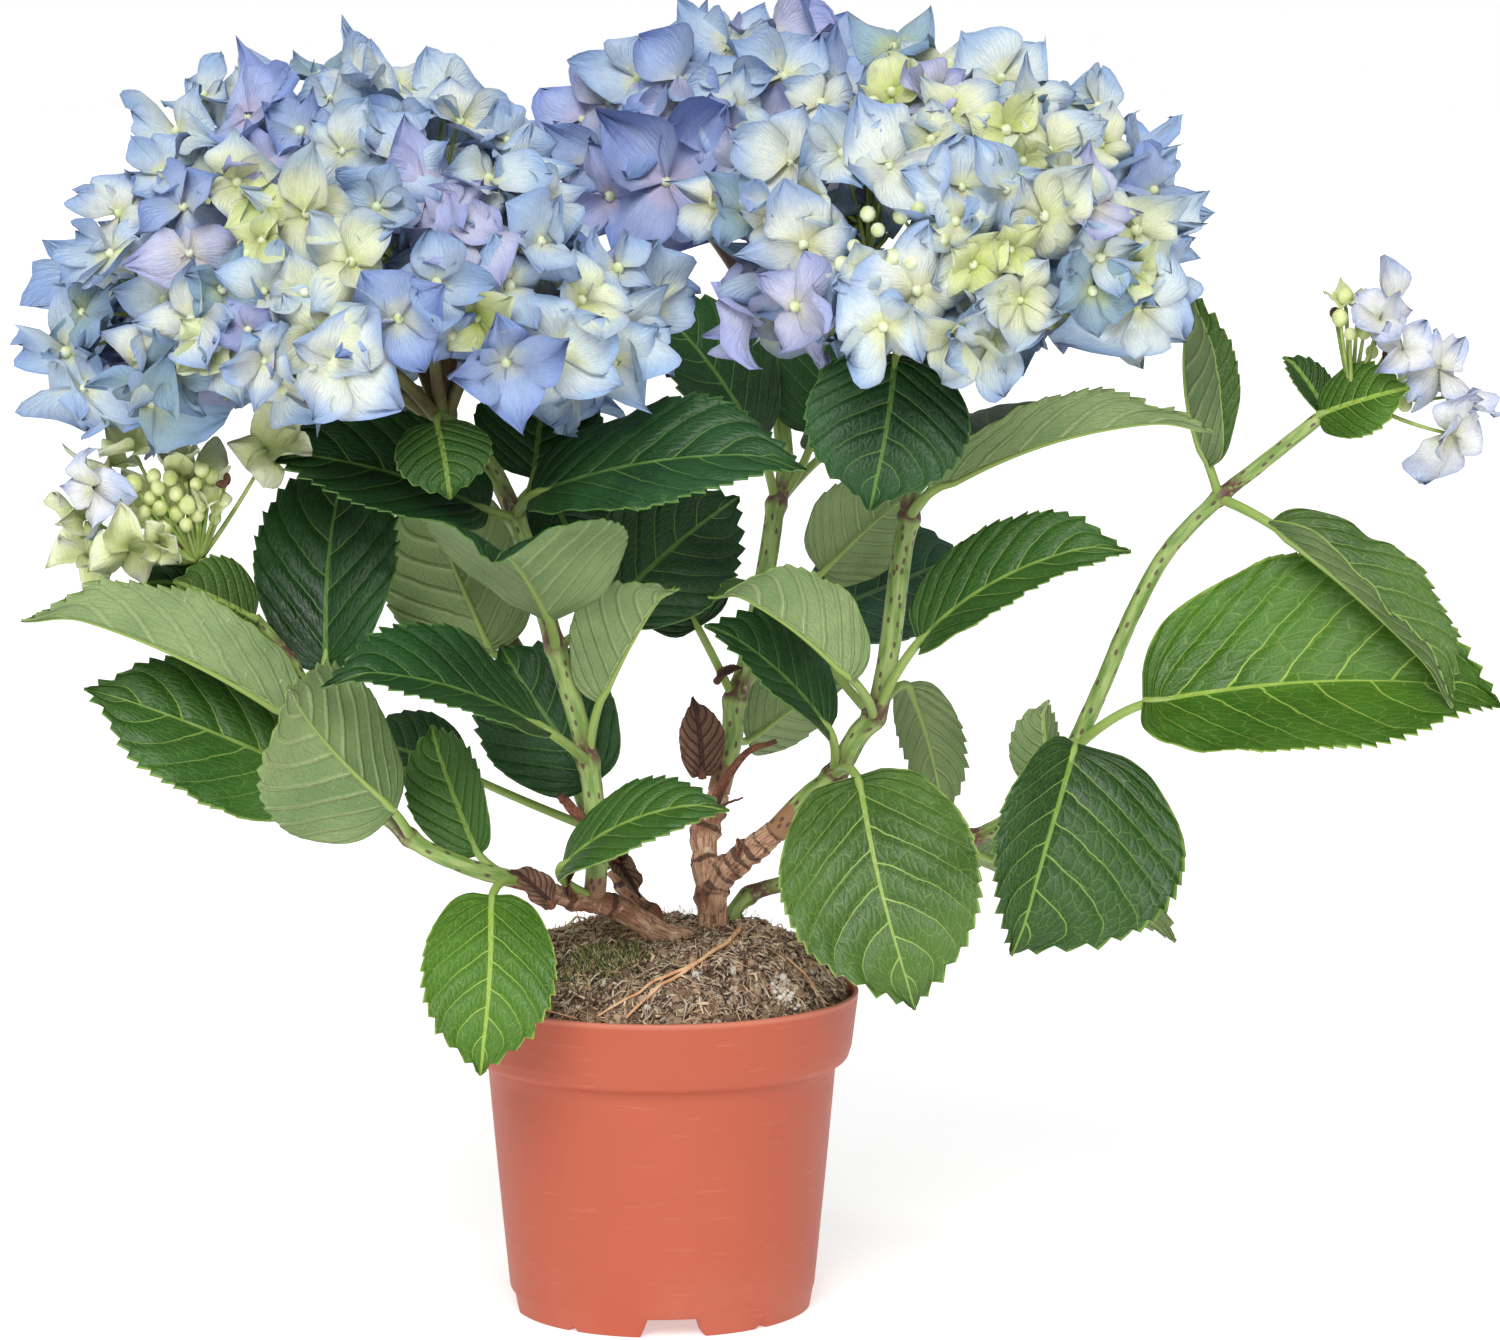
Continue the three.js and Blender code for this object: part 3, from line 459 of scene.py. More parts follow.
def makePot():
    # a profile of radius and height turned about Z. Inside a notch the foot's lowest points are lifted
    p = potShape
    rim, band, shoulder, base = p["rimRadius"], p["bandFootRadius"], p["shoulderRadius"], p["baseRadius"]
    pad, ring, footEdge = p["padRadius"], p["ringInner"], p["footRadius"]
    wall, top, foot, under = p["wall"], p["height"], p["footHeight"], p["floorUnderside"]
    bandFoot, shoulderHeight = p["bandFoot"], p["shoulder"]
    foots = [
        (0, 0), (pad - 0.6, 0), (pad, 0.15), (pad + 1.5, under), (ring - 1.2, under),
        (ring - 0.7, under - 0.6), (ring - 0.2, 0.5), (ring + 0.2, 0.08), (footEdge - 0.5, 0.0),
        (footEdge - 0.05, 0.25), (footEdge + 0.1, 0.8), (base - 0.35, foot - 1.0), (base - 0.05, foot - 0.2),
        (base + 0.05, foot + 0.6)]
    side = [(base + (shoulder - base) * c + 0.15 * np.sin(np.pi * c), foot + (shoulderHeight - foot) * c)
            for c in np.linspace(0, 1, 14)[1:]]
    step = [(shoulder + 0.5, shoulderHeight + 0.45), (band - 3.0, shoulderHeight + 1.0),
            (band - 1.9, shoulderHeight + 1.6), (band - 1.0, shoulderHeight + 2.8),
            (band - 0.5, shoulderHeight + 4.2), (band - 0.25, bandFoot - 0.5),
            (band + 0.1, bandFoot + 0.1), (band + 0.25, bandFoot + 1.0)]
    slope = (rim - band) / (top - bandFoot)
    bandSide = [(band + slope * h + 0.15, bandFoot + h) for h in (4, 8, 12, 16, 18.4)]
    inside = [
        (rim + 0.0, top - 1.2), (rim + 0.05, top - 0.5), (rim - 0.25, top - 0.08), (rim - 0.8, top),
        (rim - wall + 0.5, top - 0.05), (rim - wall + 0.1, top - 0.5), (band - wall, bandFoot),
        (shoulder - wall, shoulderHeight + 2), (base - wall, under + wall), (0, under + wall)]
    profile = np.array(foots + side + step + bandSide + inside)
    around = p["around"]
    turn = roundTurns(around)
    radius = np.repeat(profile[:, :1], around, axis=1)
    height = np.repeat(profile[:, 1:], around, axis=1)
    # how far each column stands from the middle of its nearest notch, along the foot's edge
    pitch = 2 * np.pi / p["notchCount"]
    off = (turn - np.radians(p["notchTurn"]) + pitch / 2) % pitch - pitch / 2
    across = np.abs(off)[None, :] * footEdge
    roof = (p["notchBottom"] / 2 - across) / (p["notchBottom"] - p["notchTop"]) * 2
    order = np.arange(len(profile))[:, None]
    inFoot = (radius > ring - 1.3) & (height < foot) & (order < len(foots) + 2)
    height = np.where(inFoot, np.maximum(height, p["notchHeight"] * np.clip(roof, 0, 1)), height)
    for middle, wide in p["nicks"]:
        near = np.abs((turn - np.radians(middle) + np.pi) % (2 * np.pi) - np.pi)[None, :] * footEdge
        nick = p["nickHeight"] * np.clip(1.5 - near / wide, 0, 1)
        height = np.where(inFoot, np.maximum(height, nick), height)
    # the sides are moulded a little out of true
    outOfTrue = p["bandOut"] * np.sin(p["bandWaves"] * turn + 1)[None, :]
    radius = radius + np.where(radius > 30, outOfTrue, 0)
    part = emptyPart()
    points = np.stack([radius * np.cos(turn), radius * np.sin(turn), height], axis=-1)[None]
    layTubes(part, points, boxes=oneTile(0.01, 0.01, 0.98, 0.98))
    makePiece("nurseryPot", part, [potMaterial()], ["pot"])


makePot()
print("pot ready")


# soil: the top of a fibrous root ball, with roots, crumbs, straw and moss
soilShape = {
    "edgeHeight": 109, "crown": 133, "frontPower": 2.6, "backPower": 7, "bump": 1.2,
    "bumpSpans": (7, 9, 5), "steepTurn": 20, "underside": 100, "around": 220, "outward": 70,
    "rough": ((1.1, 6.5), (0.8, 3.1), (0.5, 1.7)),  # how high and how long the waves of the surface are
    "fibres": 6400, "upright": 500, "fibreReach": 66.5, "crumbs": 2600,
    "paleLump": (43.0, -41.0), "lumpCrumbs": 60, "lumpSpread": 2.4,
    "mossBlades": 1900, "mossReach": 63, "mossPatch": ((-21, -30), (15, 12)),  # its middle and half widths
}
# two tones of each stuff and how rough it is; then how often each one is dealt out
rootTones = {
    "darkRoot": ((60, 44, 36), (98, 76, 60), 0.9), "brownRoot": ((152, 120, 94), (192, 160, 130), 0.9),
    "greyRoot": ((176, 156, 136), (214, 198, 176), 0.9), "paleRoot": ((212, 182, 146), (238, 214, 182), 0.85),
}
rootShares = [0.24, 0.34, 0.26, 0.16]
crumbTones = {
    "darkCrumb": ((82, 64, 52), (126, 102, 84), 0.95), "brownCrumb": ((144, 118, 96), (188, 160, 134), 0.95),
    "greyCrumb": ((166, 148, 132), (208, 192, 174), 0.95),
    "whiteCrumb": ((188, 180, 170), (224, 218, 208), 0.95),
}
crumbShares = [0.45, 0.33, 0.18, 0.04]
mossTones = {
    "mossDeep": ((44, 50, 30), (66, 74, 42), 0.9), "mossFresh": ((78, 88, 46), (108, 116, 66), 0.9),
    "mossDry": ((140, 132, 82), (172, 160, 110), 0.9),
}
strawTones = {"dryStraw": ((206, 152, 108), (232, 190, 148), 0.75)}
# dry threads on the soil: the places they pass and how thick they are. The first is split in two
straws = [
    ([(28, 6), (26, -12), (21, -28), (11, -42), (-3, -56), (-11, -63)], 1.05),
    ([(13, -40), (3, -47), (-10, -55), (-21, -60)], 0.8),
    ([(-58, -6), (-50, -12), (-42, -13), (-34, -11)], 0.45),
    ([(44, -22), (52, -27), (58, -31), (62, -26)], 0.45),
    ([(-48, -42), (-42, -48), (-35, -54), (-28, -59)], 0.5),
]


def soilHeight(x, y):
    # a mound: edge + rise (1 - r^power) + waves, steeper at the back than in front
    s = soilShape
    wallRadius = potShape["rimRadius"] - potShape["wall"] - 0.3
    r = np.minimum(1, np.hypot(x, y) / wallRadius)
    back = (1 + np.sin(np.arctan2(y, x) + np.radians(s["steepTurn"]))) / 2
    power = s["frontPower"] + (s["backPower"] - s["frontPower"]) * back
    spanX, spanY, spanXY = s["bumpSpans"]
    waves = np.sin(x / spanX + 1) * np.cos(y / spanY) + np.sin((x + y) / spanXY) / 2
    rise = (s["crown"] - s["edgeHeight"]) * (1 - r ** power)
    return s["edgeHeight"] + rise + s["bump"] * waves * (1 - r ** 4)


def earthMaterial():
    material, tree = newMaterial("dampPeat")
    place = objectPlace(tree)
    clump = noise(place, 60, 5, 0.65)
    grain = noise(place, 420, 4, 0.7)
    tone = coat(srgb(92, 72, 58), srgb(164, 136, 112), fade(clump, 0.35, 0.65))
    tone = coat(tone, srgb(178, 154, 130), fade(grain, 0.5, 0.75))
    green = fade(noise(place, 35, 3), 0.56, 0.68)
    tone = coat(tone, srgb(84, 96, 52), green, 0.35)
    return finished(material, tone, 0.95, 0.15, plus(clump, grain), 0.0012, 0.9)


def plainMaterial(name, low, high, roughness, scale=180):
    # two tones of one stuff in soft patches, with a fine grain
    material, tree = newMaterial(name)
    place = objectPlace(tree)
    patch = noise(place, scale, 3)
    tone = coat(srgb(*low), srgb(*high), fade(patch, 0.3, 0.7))
    grain = noise(place, scale * 6, 2)
    return finished(material, tone, roughness, relief=grain, depth=0.0002, strength=0.5)


def plainMaterials(rows):
    return [plainMaterial(name, *tones) for name, tones in rows.items()]


def pulledIn(spots, reach):
    # spots brought no farther than reach from the middle
    return spots * np.minimum(1, reach / np.hypot(spots[:, 0], spots[:, 1]))[:, None]


def makeSoil():
    # rings of points from the pot's wall to the middle, at soilHeight plus rough relief, closed underneath
    s = soilShape
    wallRadius = potShape["rimRadius"] - potShape["wall"] - 0.2
    turn = roundTurns(s["around"])
    share = np.linspace(1, 0, s["outward"]) ** 0.8
    x = wallRadius * share[:, None] * np.cos(turn)
    y = wallRadius * share[:, None] * np.sin(turn)
    z = soilHeight(x, y)
    spots = np.stack([x, y, 0 * x], axis=-1)
    rough = sum(high * ripple(spots, span, k + 1) for k, (high, span) in enumerate(s["rough"]))
    z = z + rough * np.minimum(1, (1 - share[:, None]) * 12 + 0.25)
    skirt = np.stack([0.98 * x[0], 0.98 * y[0], 0 * x[0] + s["underside"]], axis=-1)
    middle = np.zeros((s["around"], 3)) + [0, 0, s["underside"]]
    top = np.concatenate([middle[None], skirt[None], np.stack([x, y, z], axis=-1)])[None]
    disc = 0.5 + 0.47 * np.stack([x, y], axis=-1) / wallRadius
    edge = 0.5 + 0.49 * np.stack([x[:1], y[:1]], axis=-1) / wallRadius
    flat = np.concatenate([edge * 0.999, edge, disc])
    flat = np.concatenate([flat, flat[:, :1]], axis=1)[None]
    part = emptyPart()
    layGrids(part, top, wrap=True, maps={"OFBake": cornersOf(flat)})
    makePiece("pottingSoil", part, [earthMaterial()], ["soil"])


def scatterOnSoil(count, dice, reach=0.96):
    # points spread evenly over the mound, with the slope there
    radius = (potShape["rimRadius"] - potShape["wall"]) * reach * np.sqrt(dice.random(count))
    turn = dice.uniform(0, 2 * np.pi, count)
    x, y = radius * np.cos(turn), radius * np.sin(turn)
    return np.stack([x, y, soilHeight(x, y)], axis=-1)


def soilFibres():
    # short bent threads that lie in the peat, and finer ones that stand up, most of them at the mound's edge
    dice = np.random.default_rng(21)
    lying, upright = soilShape["fibres"], soilShape["upright"]
    count = lying + upright
    starts = scatterOnSoil(count, dice)
    way = dice.uniform(0, 2 * np.pi, count)
    length = dice.gamma(2.0, 1.5, count) + 1.0
    ends = starts + length[:, None] * np.stack([np.cos(way), np.sin(way), 0 * way], axis=-1)
    ends[:, :2] = pulledIn(ends[:, :2], soilShape["fibreReach"])
    ends[:, 2] = soilHeight(*ends[:, :2].T) + dice.uniform(-0.4, 2.6, count)
    starts[:, 2] += dice.uniform(-0.4, 1.2, count)
    ends[lying:] = starts[lying:] + dice.normal(0, 1, (upright, 3)) * (2.6, 2.6, 0.8) + (0, 0, 4.2)
    bends = (starts + ends) / 2 + dice.normal(0, 1, (count, 3)) * length[:, None] * 0.26
    bends[:, 2] = np.maximum(bends[:, 2], soilHeight(*bends[:, :2].T) + 0.8)
    paths = bentLines(starts, bends, ends, 3)
    radii = dice.gamma(4, 0.07, (count, 1)) * np.array([0.9, 1, 0.6]) + 0.06
    radii[lying:] = 0.1
    part = emptyPart()
    layTubes(part, tubes(paths, radii, 3), dice.choice(4, count, p=rootShares))
    makePiece("rootThreads", part, plainMaterials(rootTones))


def soilCrumbs():
    # small rounded lumps half sunk in the peat: a bead stretched differently in each direction
    dice = np.random.default_rng(22)
    count = soilShape["crumbs"]
    centres = scatterOnSoil(count, dice, 0.94)
    centres[:, 2] += 0.5
    size = dice.gamma(3, 0.2, count) + 0.25
    # one pale lump in front, made of a few pressed together
    few = soilShape["lumpCrumbs"]
    spots = soilShape["paleLump"] + dice.normal(0, soilShape["lumpSpread"], (few, 2))
    stacked = soilHeight(*spots.T) + dice.uniform(0.3, 3.4, few)
    centres[:few] = np.column_stack([spots, stacked])
    size[:few] = dice.uniform(0.5, 1.35, few)
    grids = beads(centres, size[:, None] * dice.uniform(0.6, 1.25, (count, 3)), 5, 6)
    tint = dice.choice(4, count, p=crumbShares)
    tint[:few] = dice.choice([2, 3], few)
    part = emptyPart()
    layTubes(part, grids, tint)
    makePiece("peatCrumbs", part, plainMaterials(crumbTones))


def beads(centres, radii, rings, sides):
    # many small closed balls: centre + radius (sin a cos b, sin a sin b, cos a), from the bottom up
    a = np.linspace(np.pi, 0, rings)[:, None]
    b = roundTurns(sides)
    ball = np.stack([np.sin(a) * np.cos(b), np.sin(a) * np.sin(b), np.cos(a) + 0 * b], axis=-1)
    return centres[:, None, None] + ball[None] * radii[:, None, None]


def soilMoss():
    # upright bent blades crowded into one patch, thinning out at its edge
    dice = np.random.default_rng(23)
    (mx, my), (wx, wy) = soilShape["mossPatch"]
    count = soilShape["mossBlades"]
    spot = dice.normal(0, 0.52, (count, 2)) * (wx, wy) + (mx, my)
    spot = pulledIn(spot, soilShape["mossReach"])
    starts = np.column_stack([spot, soilHeight(*spot[:, :2].T) - 0.5])
    height = dice.uniform(1.2, 3.4, count)
    ends = starts + dice.normal(0, 0.5, (count, 3)) * height[:, None]
    ends[:, 2] = starts[:, 2] + height + 0.8
    bends = (starts + ends) / 2 + dice.normal(0, 0.25, (count, 3)) * height[:, None]
    grids = tubes(bentLines(starts, bends, ends, 4), np.array([[0.3, 0.34, 0.26, 0.08]]), 3)
    part = emptyPart()
    layTubes(part, grids, dice.integers(0, 3, count))
    makePiece("mossTuft", part, plainMaterials(mossTones))


def soilStraws():
    # tubes that lie on the slope and taper to their far ends
    part = emptyPart()
    boxes = tileBoxes(len(straws))
    for k, (line, thick) in enumerate(straws):
        path = curveThrough([(x, y, soilHeight(x, y) + 2.6) for x, y in line], 10)
        waver = np.stack([ripple(path, 12, 40 + k), ripple(path, 9, 50 + k), 0 * path[:, 0]], axis=-1)
        path = path + 0.6 * waver
        path[:, 2] = np.maximum(path[:, 2], soilHeight(*path[:, :2].T) + 2.2)
        radii = np.linspace(thick, thick * 0.45, len(path))[None]
        layTubes(part, tubes(path[None], radii, 6), boxes=boxes[k:k + 1])
    makePiece("dryStraws", part, plainMaterials(strawTones))


makeSoil()
soilFibres()
soilCrumbs()
soilMoss()
soilStraws()
print("soil ready")


# stems: each limb's radius at foot and tip, and the points it passes
stems = {
    "wood_left": {"radius": (5.2, 3.2), "joints": [
        (17, -2, 118), (12, -5, 129), (-1, -12, 136), (-16, -22, 147), (-31, -28, 151), (-47, -36, 158)]},
    "stub": {"radius": (3.2, 2.6), "joints": [
        (3, 2, 124), (-3, 3, 139), (-11, 5, 147), (-17, 5, 156)]},
    "stem_back": {"radius": (2.6, 2.2), "joints": [
        (-17.5, 5.3, 156.8), (-24, 9, 170), (-38, 22, 202), (-53, 34, 232), (-64, 44, 262),
        (-72, 50, 300)]},
    "wood_right": {"radius": (6, 4), "joints": [
        (18, 12, 118), (18, 12, 131), (18, 12, 140), (16, 15, 155), (15, 19, 164), (18, 24, 174),
        (20, 27, 180)]},
    "stem_left": {"radius": (3.9, 3.1), "joints": [
        (-23, -25, 151), (-22, -26, 168), (-25, -26, 199), (-36, -28, 239), (-50, -28, 285),
        (-60, -25, 304), (-75, -22, 319)]},
    "stem_low_left": {"radius": (3.2, 2.3), "joints": [
        (-47.5, -36.5, 158.3), (-67, -44, 165), (-86, -50, 176), (-108, -50, 203), (-127, -48, 237),
        (-139, -48, 252)]},
    "stem_middle": {"radius": (4.1, 3), "joints": [
        (20.2, 27.3, 180.5), (25, 31, 200), (26, 34, 213), (30, 37, 224), (38, 48, 263), (41, 52, 282),
        (44, 58, 291), (41, 70, 326), (36, 84, 352)]},
    "stem_right": {"radius": (4.3, 3.3), "joints": [
        (40.5, 5.3, 169.4), (52, 2, 182), (61, 0, 190), (70, -4, 206), (75, -6, 212), (79, -8, 227),
        (85, -12, 273), (87, -13, 283), (88, -14, 296), (89, -17, 318), (92, -20, 331)]},
    "stem_far_lower": {"radius": (2.8, 3.1), "joints": [
        (18, 26, 122), (24, 24, 135), (31, 27, 143), (44, 30, 147), (78, 34, 154), (111, 25, 164),
        (126, 10, 175), (145, -5, 200)]},
    "stem_far_upper": {"radius": (3.2, 2.4), "joints": [
        (146, -5, 201.5), (155, -6, 222), (166, -8, 249), (178, -8, 271), (196, -8, 290), (208, -10, 300),
        (230, -12, 318)]},
}
woodFork = {"joints": [(17, 13, 142), (20, 12, 151), (28, 10, 159), (40, 5.5, 169)], "radius": (5, 4.2)}
# the limbs of bark, and the shares of their length at which old leaf scars ring them: the limb, then its fork
woodScars = {
    "wood_left": ((0.6, 0.78, 0.92), ()), "stub": ((0.5, 0.85), ()),
    "wood_right": ((0.1, 0.24, 0.42, 0.6, 0.78, 0.9), (0.2, 0.34, 0.46, 0.58, 0.7, 0.84)),
}
# how far up the green stems grow out of bark, in mm
woodyTo = {"stem_right": 20, "stem_middle": 16, "stem_left": 12, "stem_low_left": 8, "stem_far_lower": 3}
stemDetail = {"sides": 20, "perSpan": 16, "jointSwell": 0.85, "jointSpread": 2.6, "woodRough": 0.85,
              "greenRough": 0.1}
# the joints of green stems at which leaves, and so swellings and darker rings, are found
leafJoints = {
    "stem_back": (1, 3, 4), "stem_left": (1, 2, 3, 4), "stem_low_left": (2, 3, 4), "stem_middle": (2, 5),
    "stem_right": (2, 4, 7), "stem_far_lower": (2, 5, 7), "stem_far_upper": (4,),
}


def greenStemMaterial(name, pale, deep):
    # soft green with small purple-brown dashes that run along the stem and gather above each joint
    material, tree = newMaterial(name)
    skin = ownMap(tree, "skin")
    along = noise(scaled(skin, 14, 2), 3, 3)
    tone = coat(deep, pale, fade(along, 0.35, 0.65))
    near = attribute(tree, "nearJoint")
    blotch = noise(scaled(skin, 9, 5), 6, 3)
    stain = times(near, fade(blotch, 0.3, 0.52))
    tone = coat(tone, srgb(98, 54, 52), stain, 0.95)
    woody = attribute(tree, "woody")
    scale = noise(scaled(skin, 22, 50), 1, 3)
    skinned = times(fade(plus(woody, scale), 0.72, 0.92), 0.95)
    tone = coat(tone, srgb(154, 112, 82), skinned)
    dash = cells(scaled(skin, 36, 17), 1, "F1", 0.85, "2D")
    colour = addNode(tree, "ShaderNodeSeparateColor", None, Color=dash.outputs["Color"])
    chosen = fade(colour.outputs[0], 0.42, 0.5)
    mark = times(fade(dash.outputs["Distance"], 0.25, 0.15), chosen)
    tone = coat(tone, srgb(92, 50, 54), mark, 0.85)
    ridge = plus(noise(scaled(skin, 60, 4), 3, 2), times(mark, 0.5))
    return finished(material, tone, 0.48, relief=ridge, depth=0.00025, strength=0.6)


def barkMaterial():
    # tan bark with fine lengthwise streaks, darker round the old leaf scars and where it flakes
    material, tree = newMaterial("peelingBark")
    skin = ownMap(tree, "skin")
    place = objectPlace(tree)
    strip = noise(scaled(skin, 60, 7), 2, 5, 0.65)
    flake = noise(place, 190, 4, 0.7)
    broad = noise(place, 60, 2)
    tone = coat(srgb(150, 98, 72), srgb(222, 180, 150), fade(strip, 0.34, 0.62))
    tone = coat(tone, srgb(124, 68, 44), fade(broad, 0.45, 0.62), 0.75)
    tone = coat(tone, srgb(222, 198, 172), fade(flake, 0.58, 0.68))
    scar = attribute(tree, "nearJoint")
    ragged = fade(plus(times(scar, 0.5), flake), 0.78, 0.96)
    tone = coat(tone, srgb(70, 42, 32), ragged, 0.88)
    crack = fade(flake, 0.42, 0.33)
    tone = coat(tone, srgb(60, 40, 30), crack, 0.7)
    return finished(material, tone, 0.8, relief=plus(strip, flake), depth=0.0009, strength=0.9)


def stemGrid(joints, radius, marked, rough, seed, scars, barkTo):
    # one tube along the joints: radius + swell at leaf joints + ridges + the raised rims of old leaf scars
    d = stemDetail
    path = curveThrough(joints, d["perSpan"])
    gone = lengthAlong(path)
    share = np.linspace(0, 1, len(path))
    size = radius[0] + (radius[1] - radius[0]) * share
    near = np.zeros(len(path))
    for k in marked:
        above = gone - gone[k * d["perSpan"]]
        size = size + d["jointSwell"] * np.exp(-(above / d["jointSpread"]) ** 2)
        near = np.maximum(near, smoothStep(-1.5, 1, above) * smoothStep(14, 4, above))
    for at in scars:
        off = gone - at * gone[-1]
        size = size + np.where(off < 0, 0.9 * np.exp(-(off / 2.8) ** 2), 0.9 * np.exp(-(off / 0.7) ** 2))
        near = np.maximum(near, np.exp(-((off - 0.6) / 1.6) ** 2))
    grid = tubes(path[None], size[None], d["sides"])
    centre = np.concatenate([path[:1], path, path[-1:]])[None, :, None]
    spoke = grid - centre
    wave = ripple(grid, 9.0, seed) * 0.6 + ripple(grid * (1, 1, 0.5), 3.2, seed + 1) * 0.4
    grid = centre + spoke * (1 + wave[..., None] * rough / np.mean(radius))
    length = np.concatenate([gone[:1], gone, gone[-1:]])
    girth = np.linspace(0, 1, d["sides"] + 1) * 2 * np.pi * np.mean(radius)
    skin = np.stack(np.broadcast_arrays(girth[None, :] / 100, length[:, None] / 100), axis=-1)
    nearMark = np.concatenate([near[:1], near, near[-1:]])[None, :, None]
    woody = 1 - smoothStep(0.0, barkTo, length) if barkTo else 0 * length
    return grid, skin[None], {"nearJoint": nearMark, "woody": woody[None, :, None]}


def makeStems():
    green = greenStemMaterial("greenStem", srgb(166, 186, 112), srgb(112, 144, 66))
    bark = barkMaterial()
    for k, (name, stem) in enumerate(stems.items()):
        woody = name in woodScars
        runs = [(stem["joints"], stem["radius"])]
        if name == "wood_right":
            runs.append((woodFork["joints"], woodFork["radius"]))
        scars = woodScars.get(name, ((), ()))
        part = emptyPart()
        boxes = tileBoxes(len(runs))
        for n, (joints, radius) in enumerate(runs):
            rough = stemDetail["woodRough"] if woody else stemDetail["greenRough"]
            marked = () if woody else leafJoints[name]
            seed = 60 + 5 * k + n
            grid, skin, marks = stemGrid(joints, radius, marked, rough, seed, scars[n], woodyTo.get(name, 0))
            layTubes(part, grid, boxes=boxes[n:n + 1], maps={"skin": cornersOf(skin)}, marks=marks)
        if woody:
            makePiece(name + "Bark", part, [bark], [name])
        else:
            makePiece(name + "Skin", part, [green], [name])


makeStems()
print("stems ready")


